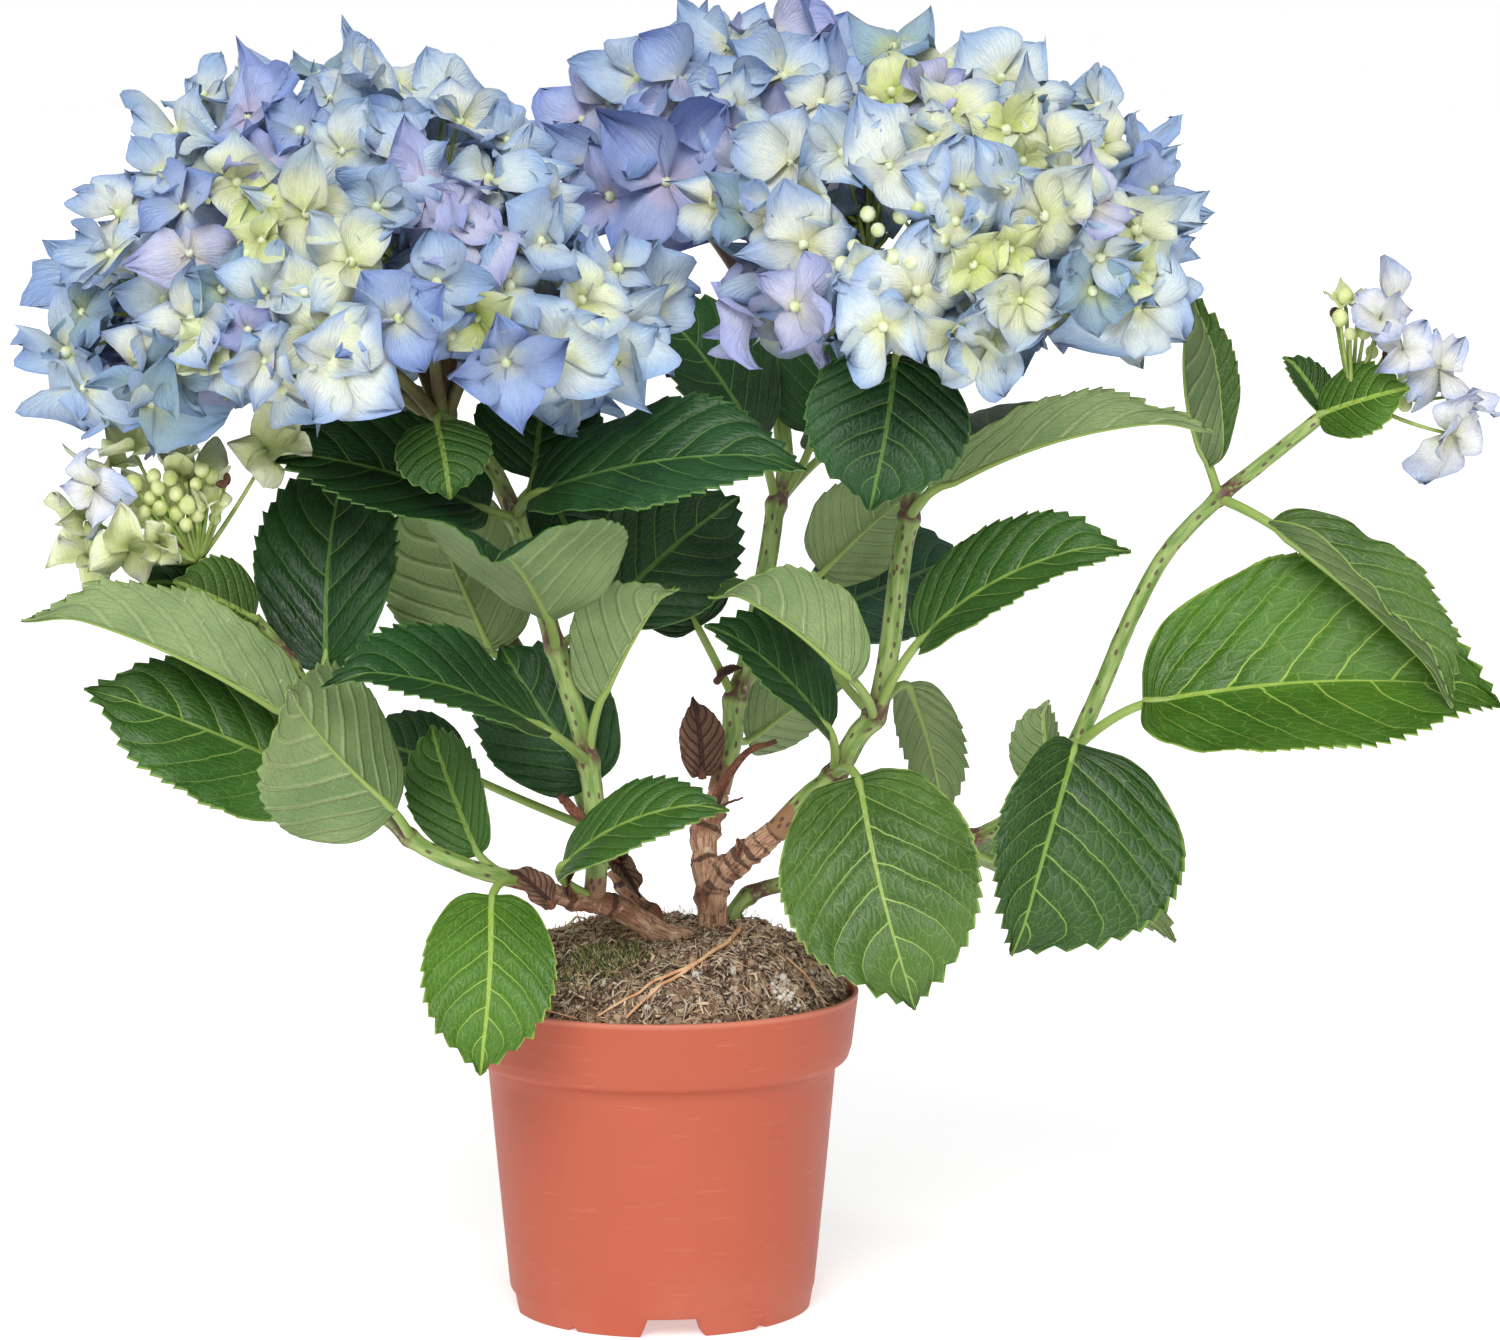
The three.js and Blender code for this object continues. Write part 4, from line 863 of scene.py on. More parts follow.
# leaves, one a row: the joint of its stem that it grows from, how far its stalk reaches, how far its blade
# reaches from there, which way its upper face looks, its width, how much its midrib arches and how far its
# halves fold up (degrees), and the colour of its upper face
leafStems = {"low_left": "stem_low_left", "left": "stem_left", "back": "stem_back", "middle": "stem_middle",
             "right": "stem_right", "far_lower": "stem_far_lower", "far_upper": "stem_far_upper"}
leafRows = {
    "low_left": [
        (0, (-9.5, -34, -2.5), (-3, -25, -55), (0, -0.9, 0.4), 46, 22, 8, "bright"),
        (0, (-17, 6, 11), (-17, 22, 41), (-0.45, -0.8, 0.4), 33, 12, 28, "middle"),
        (2, (-28, 4, 18), (-83, -8, 35), (0.1, -0.75, 0.65), 60, 14, 10, "middle"),
        (2, (-7, -15, 13.5), (-31, -36, 45), (-0.5, 0.65, -0.1), 62, 16, 14, "middle"),
        (3, (-8, 20, 33), (7, 34, 74), (-0.2, -0.9, 0.4), 52, 10, 12, "deep"),
        (4, (0, -20, -15), (-85, -25, 40), (0.1, 0.5, 0.85), 48, 12, 50, "middle"),
    ],
    "left": [
        (0, (-10, -18, 15), (57, -20, 24), (0, -0.6, 0.8), 40, 22, 12, "middle"),
        (1, (-3, 14, 24), (-33, 14, 46), (-0.2, -0.9, 0.3), 50, 12, 10, "deep"),
        (2, (-18, -32, 18.5), (-68, -36, 22), (0, -0.55, 0.8), 49, 16, 14, "deep"),
        (2, (5, -6, 24), (25, -16, 43), (-0.6, 0.7, 0.5), 42, 10, 52, "middle"),
        (3, (-2, -22, 14), (-15, -66, 31), (0, 0.4, 0.9), 82, 14, 32, "deep"),
        (3, (20, 16, 14), (44, 22, 36), (0.2, -0.9, 0.4), 50, 10, 12, "deep"),
        (4, (-12, -13, 5), (-73, -12, 20), (0, -0.6, 0.8), 52, 16, 16, "deep"),
        (4, (10, -15, 10.5), (91, -22, 13), (0, -0.5, 0.85), 56, 16, 12, "deep"),
        (4, (6, 16, 14), (3, 22, 33), (0, -0.9, 0.4), 46, 8, 10, "deep"),
        (5, (-15, -33, 15), (5, -14, -24), (0, -0.95, 0.3), 34, 14, 12, "middle"),
    ],
    "back": [
        (1, (-50, 5, 21), (-38, 16, 9), (0, -0.6, 0.8), 36, 14, 12, "deep"),
        (3, (-9, -20, 4), (-26, 2, 58), (-0.1, 0.9, 0.2), 56, 12, 12, "deep"),
        (4, (24, -8, 26), (22, -16, -40), (0, -0.8, 0.3), 36, 12, 12, "deep"),
        (5, (-16, 8, 8), (-44, 50, 6), (0, 0.1, 1), 58, 16, 14, "deep"),
        (4, (3, 26, 32), (34, 62, 6), (0, 0.1, 1), 58, 18, 14, "deep"),
    ],
    "middle": [
        (2, (6, 20, -16), (34, 12, 20), (-0.2, 0.8, 0.5), 42, 10, 14, "middle"),
        (2, (-14, -8, 29), (-20, 4, 32), (0, -0.8, 0.5), 42, 12, 16, "deep"),
        (2, (33, 20, 30), (53, 10, 21), (0.1, -0.75, 0.6), 52, 14, 12, "dusky"),
        (5, (-8, -6, 26), (-38, -12, 50), (0.3, -0.8, 0.5), 50, 12, 14, "deep"),
        (5, (14, 8, 28), (6, 12, 48), (0, -0.9, 0.3), 46, 12, 14, "deep"),
        (5, (20, 26, 18), (50, 54, 4), (0, 0.1, 1), 56, 18, 12, "deep"),
    ],
    "right": [
        (2, (9, -34, 1), (19, -30, -74), (0, -0.9, 0.35), 70, 20, 8, "fresh"),
        (2, (-3, -14, 21), (-41, -18, 38), (0.1, -0.6, 0.8), 42, 12, 18, "deep"),
        (4, (14, 22, 7), (13, 18, -51), (0.2, 0.9, 0.3), 26, 20, 20, "middle"),
        (4, (-10, -26, 19), (-47, -26, 35), (0.1, 0.5, 0.85), 52, 10, 46, "middle"),
        (4, (17, -18, 31), (70, -22, 36), (0, -0.6, 0.8), 42, 24, 16, "middle"),
        (4, (-17, 32, 50), (30, 4, 27), (-0.5, 0.8, 0.4), 50, 8, 12, "deep"),
        (7, (12, -15, 13.5), (92, -18, 24), (0, 0.45, 0.9), 38, 10, 44, "middle"),
        (9, (-8, -30, 22), (-9, -16, -50), (0, -0.95, 0.3), 58, 16, 12, "deep"),
        (7, (18, 28, 18), (50, 50, 16), (0, 0.1, 1), 56, 18, 14, "deep"),
    ],
    "far_lower": [
        (5, (5, 14, -8), (72, -2, -28), (0, 0.7, 0.7), 40, 12, 16, "middle"),
        (7, (-1, -24, 2), (-21, -26, -68), (0.3, -0.9, 0.3), 70, 20, 16, "rich"),
        (7, (31, -14, 20), (117, -20, 6), (-0.05, -0.77, 0.64), 95, 9, 22, "bright"),
        (7, (-8, -14, -12), (-4, -2, 33), (-0.6, 0.7, -0.2), 24, 10, 30, "middle"),
    ],
    "far_upper": [
        (4, (20, -18, -10), (60, -28, -56), (0.6, -0.37, 0.7), 44, 8, 46, "fresh"),
        (4, (-5, -4, 14), (-4, -3, 60), (0.88, -0.45, 0), 46, -22, 58, "fresh"),
    ],
}
# leaves with one half wider than the other
leafSkew = {"leaf_far_lower_2": 0.4, "leaf_far_upper_1": 0.15}
leafDetail = {
    "columns": 25, "toothPitch": 5.0, "toothDepth": 2.1, "crumpledTeeth": 0.35,
    "thickness": 0.5, "lobe": 0.075,
    "veinPairs": 6.2, "quilt": 0.6, "wave": 2.0, "groove": 0.9,
    "stalkRadius": 1.65, "stalkSides": 10, "stalkSteps": 14,
}
# upper face: deep tone, light tone, vein tone
leafTones = {
    "bright": ((46, 88, 16), (74, 118, 28), (170, 198, 86)),
    "fresh": ((52, 84, 28), (76, 110, 42), (162, 188, 96)),
    "rich": ((20, 54, 14), (40, 78, 22), (138, 172, 78)),
    "middle": ((34, 76, 26), (64, 106, 40), (146, 176, 84)),
    "deep": ((16, 48, 24), (36, 80, 36), (104, 144, 66)),
    "dusky": ((26, 54, 46), (52, 88, 66), (110, 142, 92)),
}


def veinNodes(tree):
    # the leaf's own lines: side veins, which alternate to left and right of the midrib, and the net between
    veins = parts(ownMap(tree, "veins"))
    flat = ownMap(tree, "flat")
    leftSide = maths("GREATER_THAN", veins[1], 0.0)
    order = plus(veins[0], times(leftSide, 0.4))
    bentBy = minus(noise(flat, 9, 2), 0.5)
    order = plus(order, times(bentBy, 0.22))
    away = maths("PINGPONG", order, 0.5)
    across = maths("ABSOLUTE", veins[1])
    lengthwise, sideways = parts(flat)[:2]
    fromRib = plus(maths("ABSOLUTE", sideways), times(lengthwise, 0.0095))
    rib = fade(fromRib, 0.0125, 0.0085)
    thin = plus(times(across, -0.026), 0.03)
    side = fade(minus(away, thin), 0.012, -0.008)
    wavy = plus(order, times(noise(flat, 30, 2), 0.12))
    ladder = joined(wavy, times(across, 6.0))
    rungs = cells(ladder, 2.0, randomness=0.85, dimensions="2D").outputs["Distance"]
    rungLine = fade(rungs, 0.05, 0.015)
    net = cells(flat, 62, dimensions="2D").outputs["Distance"]
    netLine = fade(net, 0.07, 0.02)
    line = maths("MAXIMUM", rib, side)
    return {"flat": flat, "away": away, "across": across, "line": line, "rungs": rungs, "rungLine": rungLine,
            "net": net, "netLine": netLine}


def leafTopMaterial(name, deep, light, vein):
    material, tree = newMaterial(name)
    v = veinNodes(tree)
    cloud = noise(objectPlace(tree), 22, 3)
    puff = fade(v["away"], 0.02, 0.4)
    tone = coat(deep, light, fade(cloud, 0.3, 0.7))
    tone = coat(tone, light, puff, 0.16)
    tone = coat(tone, vein, v["rungLine"], 0.2)
    tone = coat(tone, vein, v["netLine"], 0.1)
    tone = coat(tone, vein, v["line"], 0.75)
    rim = fade(v["across"], 0.965, 0.995)
    tone = coat(tone, vein, rim, 0.7)
    relief = fade(v["away"], 0.0, 0.3)
    relief = plus(relief, times(fade(v["rungs"], 0.0, 0.3), 0.2))
    relief = plus(relief, times(fade(v["net"], 0.0, 0.3), 0.07))
    relief = minus(relief, times(v["line"], 0.35))
    return finished(material, tone, fade(cloud, 0.25, 0.75, 0.36, 0.5), 0.36, relief, 0.0007, 0.75)


def leafUnderMaterial(name, pale, deep, vein):
    material, tree = newMaterial(name)
    v = veinNodes(tree)
    cloud = noise(objectPlace(tree), 24, 3)
    tone = coat(deep, pale, fade(cloud, 0.3, 0.7))
    hollow = fade(v["away"], 0.04, 0.2)
    tone = coat(tone, vein, minus(1.0, hollow), 0.35)
    tone = coat(tone, vein, v["rungLine"], 0.4)
    tone = coat(tone, vein, v["netLine"], 0.12)
    tone = coat(tone, vein, v["line"], 0.9)
    relief = minus(v["line"], hollow)
    relief = plus(relief, times(v["rungLine"], 0.3))
    relief = plus(relief, times(v["netLine"], 0.12))
    return finished(material, tone, 0.6, 0.3, relief, 0.0009, 0.9)


def stalkMaterial():
    # pale green stalk and midrib, faintly streaked
    material, tree = newMaterial("leafStalk")
    skin = ownMap(tree, "flat")
    streak = noise(scaled(skin, 4, 60), 3, 2)
    tone = coat(srgb(124, 154, 68), srgb(166, 188, 104), streak)
    return finished(material, tone, 0.45, relief=streak, depth=0.0002, strength=0.5)


def bladeFrame(blade, top):
    # along the blade's chord, square to its upper face, and across
    along = unit(np.array(blade, float))
    upper = np.array(top, float)
    upper = unit(upper - (upper @ along) * along)
    return along, upper, np.cross(along, upper)


def leafOutline(u):
    # share of the full width: sin(pi u^0.8)^power, a rounded leaf, drawn out to a point as the power grows
    power = 0.62 + 0.4 * smoothStep(0.6, 1.0, u)
    body = np.abs(np.sin(np.pi * np.clip(u, 0, 1) ** 0.8)) ** power
    return body * (1 - 0.3 * smoothStep(0.8, 1.0, u))


def leafMaps(u, t, period, wide, chord):
    # veins (order of the side veins, share across), flat (real size over 100 mm) and the board to bake on:
    # upper face on its left half, lower one on its right and the two thin edges between
    rows, n = len(u), len(t)
    pad = np.concatenate([[0], np.arange(rows), [rows - 1]])
    bothSides = np.broadcast_to(np.concatenate([t, t[::-1]]), (rows, 2 * n))
    veinMap = np.stack([np.concatenate([period, period[:, ::-1]], axis=1), bothSides], -1)[pad]
    wides = np.concatenate([wide, wide[:, ::-1]], axis=1)
    flatMap = np.stack([np.broadcast_to(u[:, None] * chord / 100, wides.shape), wides / 100], -1)[pad]
    front = 0.02 + 0.44 * (t + 1) / 2
    back = np.sort(0.54 + 0.44 * (1 - t) / 2)
    lefts = np.concatenate([front[:-1], [0.462], back[:-1], [0.472]])
    rights = np.concatenate([front[1:], [0.468], back[1:], [0.478]])
    y = 0.02 + 0.96 * (pad + np.concatenate([[-0.5], np.zeros(rows), [0.5]])) / (rows - 1)
    low, high = y[:-1, None], y[1:, None]
    corners = ((lefts, low), (rights, low), (rights, high), (lefts, high))
    board = np.stack([np.stack(np.broadcast_arrays(a, b), -1) for a, b in corners], axis=2)[None]

    def dealt(values):
        return cornersOf(np.concatenate([values, values[:, :1]], axis=1)[None])

    return {"veins": dealt(veinMap), "flat": dealt(flatMap), "OFBake": board}


def layStalk(part, path, radii, thick, slot):
    # a tube whose map is its real size over 100 mm, on the strip of the board that the blade leaves free
    sides = leafDetail["stalkSides"]
    gone = lengthAlong(path)
    gone = np.concatenate([gone[:1], gone, gone[-1:]]) / 100
    around = np.linspace(0, 2 * np.pi * thick / 100, sides + 1)
    skin = cornersOf(np.stack(np.broadcast_arrays(gone[:, None], around[None]), -1)[None])
    strip = oneTile(0.484, 0.02, 0.05, 0.96)
    maps = {"veins": skin * 0 + 0.5, "flat": skin}
    layTubes(part, tubes(path[None], radii[None], sides), slot, strip, maps)


def closedEnds(ring):
    # the first and last rows drawn together into one point each
    first = ring[:1].mean(1, keepdims=True).repeat(ring.shape[1], 1)
    last = ring[-1:].mean(1, keepdims=True).repeat(ring.shape[1], 1)
    return np.concatenate([first, ring, last])


def growLeaf(row, slots, start=None, seed=0, skew=0.0, crumple=0.0):
    # the midrib is an arc, base + along.run + upper.rise; a point stands across.reach.t from it, lifted along
    # the arc's own upward direction by the fold, the waves and the quilting between side veins
    d = leafDetail
    base, blade, top, width, arch, fold = row
    dice = np.random.default_rng(seed)
    along, upper, across = bladeFrame(blade, top)
    chord = np.linalg.norm(blade)
    size = min(1.0, chord / 85)
    teeth = max(9, int(chord * 1.15 / d["toothPitch"]))
    rows = 4 * teeth + 1
    u = np.linspace(0, 1, rows)
    half = np.radians(arch)
    bend = half * (2 * u - 1)
    rise = (np.cos(bend) - np.cos(half)) / (2 * np.sin(half))
    run = (np.sin(bend) + np.sin(half)) / (2 * np.sin(half))
    base = np.array(base, float)
    bow = dice.normal(0, 0.022) * chord * np.sin(np.pi * u)
    rib = base + chord * (along * run[:, None] + upper * rise[:, None]) + across * bow[:, None]
    face = upper * np.cos(bend)[:, None] + along * np.sin(bend)[:, None]
    forward = along * np.cos(bend)[:, None] - upper * np.sin(bend)[:, None]
    x = np.linspace(-1, 1, d["columns"])
    t = 0.55 * x + 0.45 * np.sin(np.pi * x / 2)
    reach = np.maximum(0.5, width / 2 * leafOutline(u)) * np.cos(np.radians(fold))
    # teeth: a saw along the edge that leans towards the tip, coarser in the outer half
    saw = (np.arange(rows) % 4) / 3.0
    deep = d["toothDepth"] * size ** 0.7 * (0.12 + 0.88 * smoothStep(0.22, 0.62, u))
    deep = deep * smoothStep(1.0, 0.95, u) * (d["crumpledTeeth"] if crumple else 1)
    deep = deep * smoothStep(0.0, 0.08, u) * np.repeat(dice.uniform(0.5, 1.3, teeth + 1), 4)[:rows]
    edge = np.abs(t) ** 12
    tooth = (saw - 0.5)[:, None] * deep[:, None] * edge[None, :]
    lean = (saw[:, None] * deep[:, None] * 0.9) * edge[None, :]
    wide = t[None, :] * reach[:, None] * (1 - skew * np.sign(t))[None, :]
    # side veins run along equal values of the period
    order = u[:, None] - (0.22 * np.abs(t) + 0.18 * t ** 2)[None, :] * (1.4 - 0.75 * u[:, None])
    period = order * d["veinPairs"] + 0.85
    crest = 0.5 - 0.5 * np.cos(2 * np.pi * (period + 0.4 * (t[None, :] > 0)))
    inner = np.sin(np.pi * np.clip(np.abs(t), 0, 1)) ** 0.6
    quilt = d["quilt"] * size * (crest - 0.5) * inner[None, :] * smoothStep(0, 0.15, u)[:, None]
    lift = np.tan(np.radians(fold + np.where(t > 0, 1, -1) * dice.normal(0, 3.5)))[None, :]
    vee = np.sqrt(wide ** 2 + 1.2) - np.sqrt(1.2)
    spots = np.stack([np.broadcast_to(u[:, None] * chord, wide.shape), wide, 0 * wide], axis=-1)
    flutter = d["wave"] * size * ripple(spots, 36, seed + 3) * np.abs(t)[None, :] ** 1.5
    flutter = flutter + 0.8 * size * ripple(spots, 13, seed + 4) * np.abs(t)[None, :] ** 3
    flutter = flutter + crumple * ripple(spots, 8, seed + 5) * np.abs(t)[None, :]
    roll = dice.uniform(-0.16, 0.08) * reach[:, None] * np.abs(t)[None, :] ** 3
    droop = dice.uniform(-0.09, 0.0) * chord * smoothStep(0.72, 1.0, u)[:, None] ** 2
    groove = 0.6 * d["groove"] * np.exp(-(wide / 1.3) ** 2)
    height = vee * lift + quilt + flutter + roll + droop - groove
    place = rib[:, None] + across * (wide + np.sign(t)[None, :] * tooth)[..., None]
    lobed = d["lobe"] * chord * np.exp(-((u - 0.05) / 0.11) ** 2)[:, None] * np.abs(t)[None, :] ** 1.6
    place = place + face[:, None] * height[..., None] + forward[:, None] * (lean - lobed)[..., None]
    under = place - face[:, None] * d["thickness"]
    ring = closedEnds(np.concatenate([place, under[:, ::-1]], axis=1))[None]
    n = d["columns"]
    slotRow = np.array([slots[0]] * n + [slots[1]] * (n - 1) + [slots[0]])
    part = emptyPart()
    layGrids(part, ring, slots=slotRow[None, None, :], wrap=True, maps=leafMaps(u, t, period, wide, chord))
    # stalk and midrib: one tube, from inside the stem, bending into the blade and along under it to the tip
    inward = along * np.cos(half) + upper * np.sin(half)
    start = base - inward * 2 if start is None else np.array(start, float)
    turnAt = base - inward * 0.4 * np.linalg.norm(start - base)
    stalk = bentLines(start[None], turnAt[None], base[None], d["stalkSteps"])[0]
    keep = (u > 0.02) & (u < 0.97) & (np.arange(rows) % 3 == 0)
    thick = d["stalkRadius"] * (0.75 + 0.25 * size)
    radiusRib = thick * (0.8 - 0.68 * u[keep] ** 0.6)
    depth = height[keep, n // 2] - d["thickness"] - radiusRib * 0.55
    under = rib[keep] + face[keep] * depth[:, None]
    path = np.vstack([stalk[:-1] - upper * 0.3, under])
    radii = np.concatenate([np.linspace(thick * 1.15, thick, len(stalk) - 1), radiusRib])
    layStalk(part, path, radii, thick, slots[2])
    return part


def makeLeaves():
    tops = {name: leafTopMaterial(name + "LeafTop", *[srgb(*tone) for tone in tones])
            for name, tones in leafTones.items()}
    pale = leafUnderMaterial("leafUnderside", srgb(146, 168, 112), srgb(108, 136, 84), srgb(188, 206, 146))
    stalk = stalkMaterial()
    seed = 100
    for group, rows in leafRows.items():
        joints = stems[leafStems[group]]["joints"]
        for k, (joint, reach, blade, top, width, arch, fold, tone) in enumerate(rows):
            start = np.array(joints[joint], float)
            node = f"leaf_{group}_{k + 1}"
            row = (start + reach, blade, top, width, arch, fold)
            part = growLeaf(row, (0, 1, 2), start, seed, leafSkew.get(node, 0.0))
            makePiece(node + "_blade", part, [tops[tone], pale, stalk], [node])
            seed += 10
    return tops, pale, stalk


leafTops, leafPale, leafStalk = makeLeaves()
print("leaves ready")


# dried remains: shrivelled leaves and the husks of old stalks. One leaf a row: base, blade, way its upper
# face looks, width, arch, fold, how crumpled
driedLeaves = [
    ((14.5, 17, 189), (-3, -3, 28), (0.25, -0.9, 0.2), 19, 14, 24, 1.4),
    ((-38, -38, 151), (-13, -6, 13), (0.3, -0.8, 0.5), 13, 20, 26, 2.0),
    ((-31, -33, 152), (1, -5, 11), (-0.6, -0.7, 0.2), 5, 40, 40, 1.2),
    ((-16, -1, 160), (9, -9, -12), (0.1, -0.8, 0.6), 12, 50, 40, 2.4),
    ((-15, -2, 160), (-4, -10, 6), (0, -0.3, 0.9), 10, 50, 44, 2.4),
    ((20, 25, 222), (9, -4, 5), (0, -0.8, 0.5), 5, 40, 40, 1.2),
]
# points that the husk passes through, radius at its foot and at its end
driedStalks = [
    ([(18, 16, 176), (21, 12, 184), (25, 9, 191), (31, 8, 198), (41, 6, 202)], (2.3, 0.9)),
    ([(-24, -25, 176), (-29, -28, 181), (-35, -31, 188)], (2.2, 1.7)),
    ([(24, 8, 158), (28, 5, 163), (27, 2, 167)], (1.6, 1.0)),
    ([(18, 14, 176), (24, 12, 179), (29, 11, 181)], (0.7, 0.3)),
]


def driedMaterial(name, dark, light, vein):
    # brittle brown skin in patches, with darker veins and a fine crinkle
    material, tree = newMaterial(name)
    place = objectPlace(tree)
    patch = noise(place, 120, 4)
    crinkle = cells(place, 420).outputs["Distance"]
    tone = coat(dark, light, fade(patch, 0.35, 0.65))
    tone = coat(tone, vein, fade(crinkle, 0.08, 0.0), 0.7)
    return finished(material, tone, 0.75, relief=plus(patch, crinkle), depth=0.0008, strength=0.9)


def makeDried():
    brown = leafUnderMaterial("driedLeaf", srgb(158, 122, 100), srgb(112, 80, 66), srgb(74, 48, 42))
    rust = driedMaterial("driedHusk", srgb(86, 50, 40), srgb(148, 88, 64), srgb(56, 34, 28))
    for k, (*row, crumple) in enumerate(driedLeaves):
        part = growLeaf(row, (0, 0, 1), seed=700 + 10 * k, crumple=crumple)
        makePiece(f"dried_leaf_{k + 1}", part, [brown, rust])
    part = emptyPart()
    boxes = tileBoxes(len(driedStalks))
    for k, (joints, (thick, thin)) in enumerate(driedStalks):
        path = curveThrough(joints, 8)
        grid = tubes(path[None], np.linspace(thick, thin, len(path))[None], 10, flat=0.55)
        grid = grid + 0.25 * ripple(grid, 3.0, 80 + k)[..., None]
        layTubes(part, grid, boxes=boxes[k:k + 1])
    makePiece("dried_husks", part, [rust])


makeDried()
print("dried remains ready")


# flower heads
sepalDetail = {"perFloret": 4, "rows": 9, "columns": 7}
beadDetail = {"rings": 6, "sides": 8, "radius": (1.3, 2.2), "budRadius": (2.4, 3.2)}
flowerTones = {
    "floretBead": ((206, 218, 150), (236, 240, 216), 0.5, 300),
    "flowerStalk": ((128, 154, 70), (178, 196, 112), 0.55, 120),
    "flowerBranch": ((108, 78, 66), (134, 138, 78), 0.6, 60),
}
# heart, middle and edge colours of a sepal
petalTones = {
    "sky": ((234, 238, 196), (194, 213, 230), (152, 180, 220)),
    "pale": ((240, 242, 188), (218, 230, 230), (164, 192, 226)),
    "deep": ((216, 222, 208), (168, 188, 224), (132, 156, 210)),
    "violet": ((220, 206, 222), (184, 190, 228), (156, 168, 218)),
    "lilac": ((230, 224, 208), (204, 206, 228), (168, 176, 220)),
    "white": ((238, 238, 184), (228, 234, 222), (164, 188, 224)),
    "cream": ((226, 232, 154), (234, 238, 200), (188, 206, 222)),
    "lime": ((204, 220, 112), (228, 236, 160), (232, 240, 196)),
    # a green tint for florets deep inside a head: the green is their own colour, its darkness is painted
    # shade
    "leafyShaded": ((168, 190, 98), (192, 208, 128), (198, 212, 156)),
    "teal": ((186, 202, 160), (154, 182, 192), (134, 164, 194)),
    "blue": ((214, 200, 228), (178, 192, 232), (138, 160, 218)),
    "young": ((206, 222, 122), (230, 238, 168), (238, 244, 204)),
    "milk": ((232, 236, 190), (242, 242, 238), (198, 210, 238)),
}
petalNames = list(petalTones)

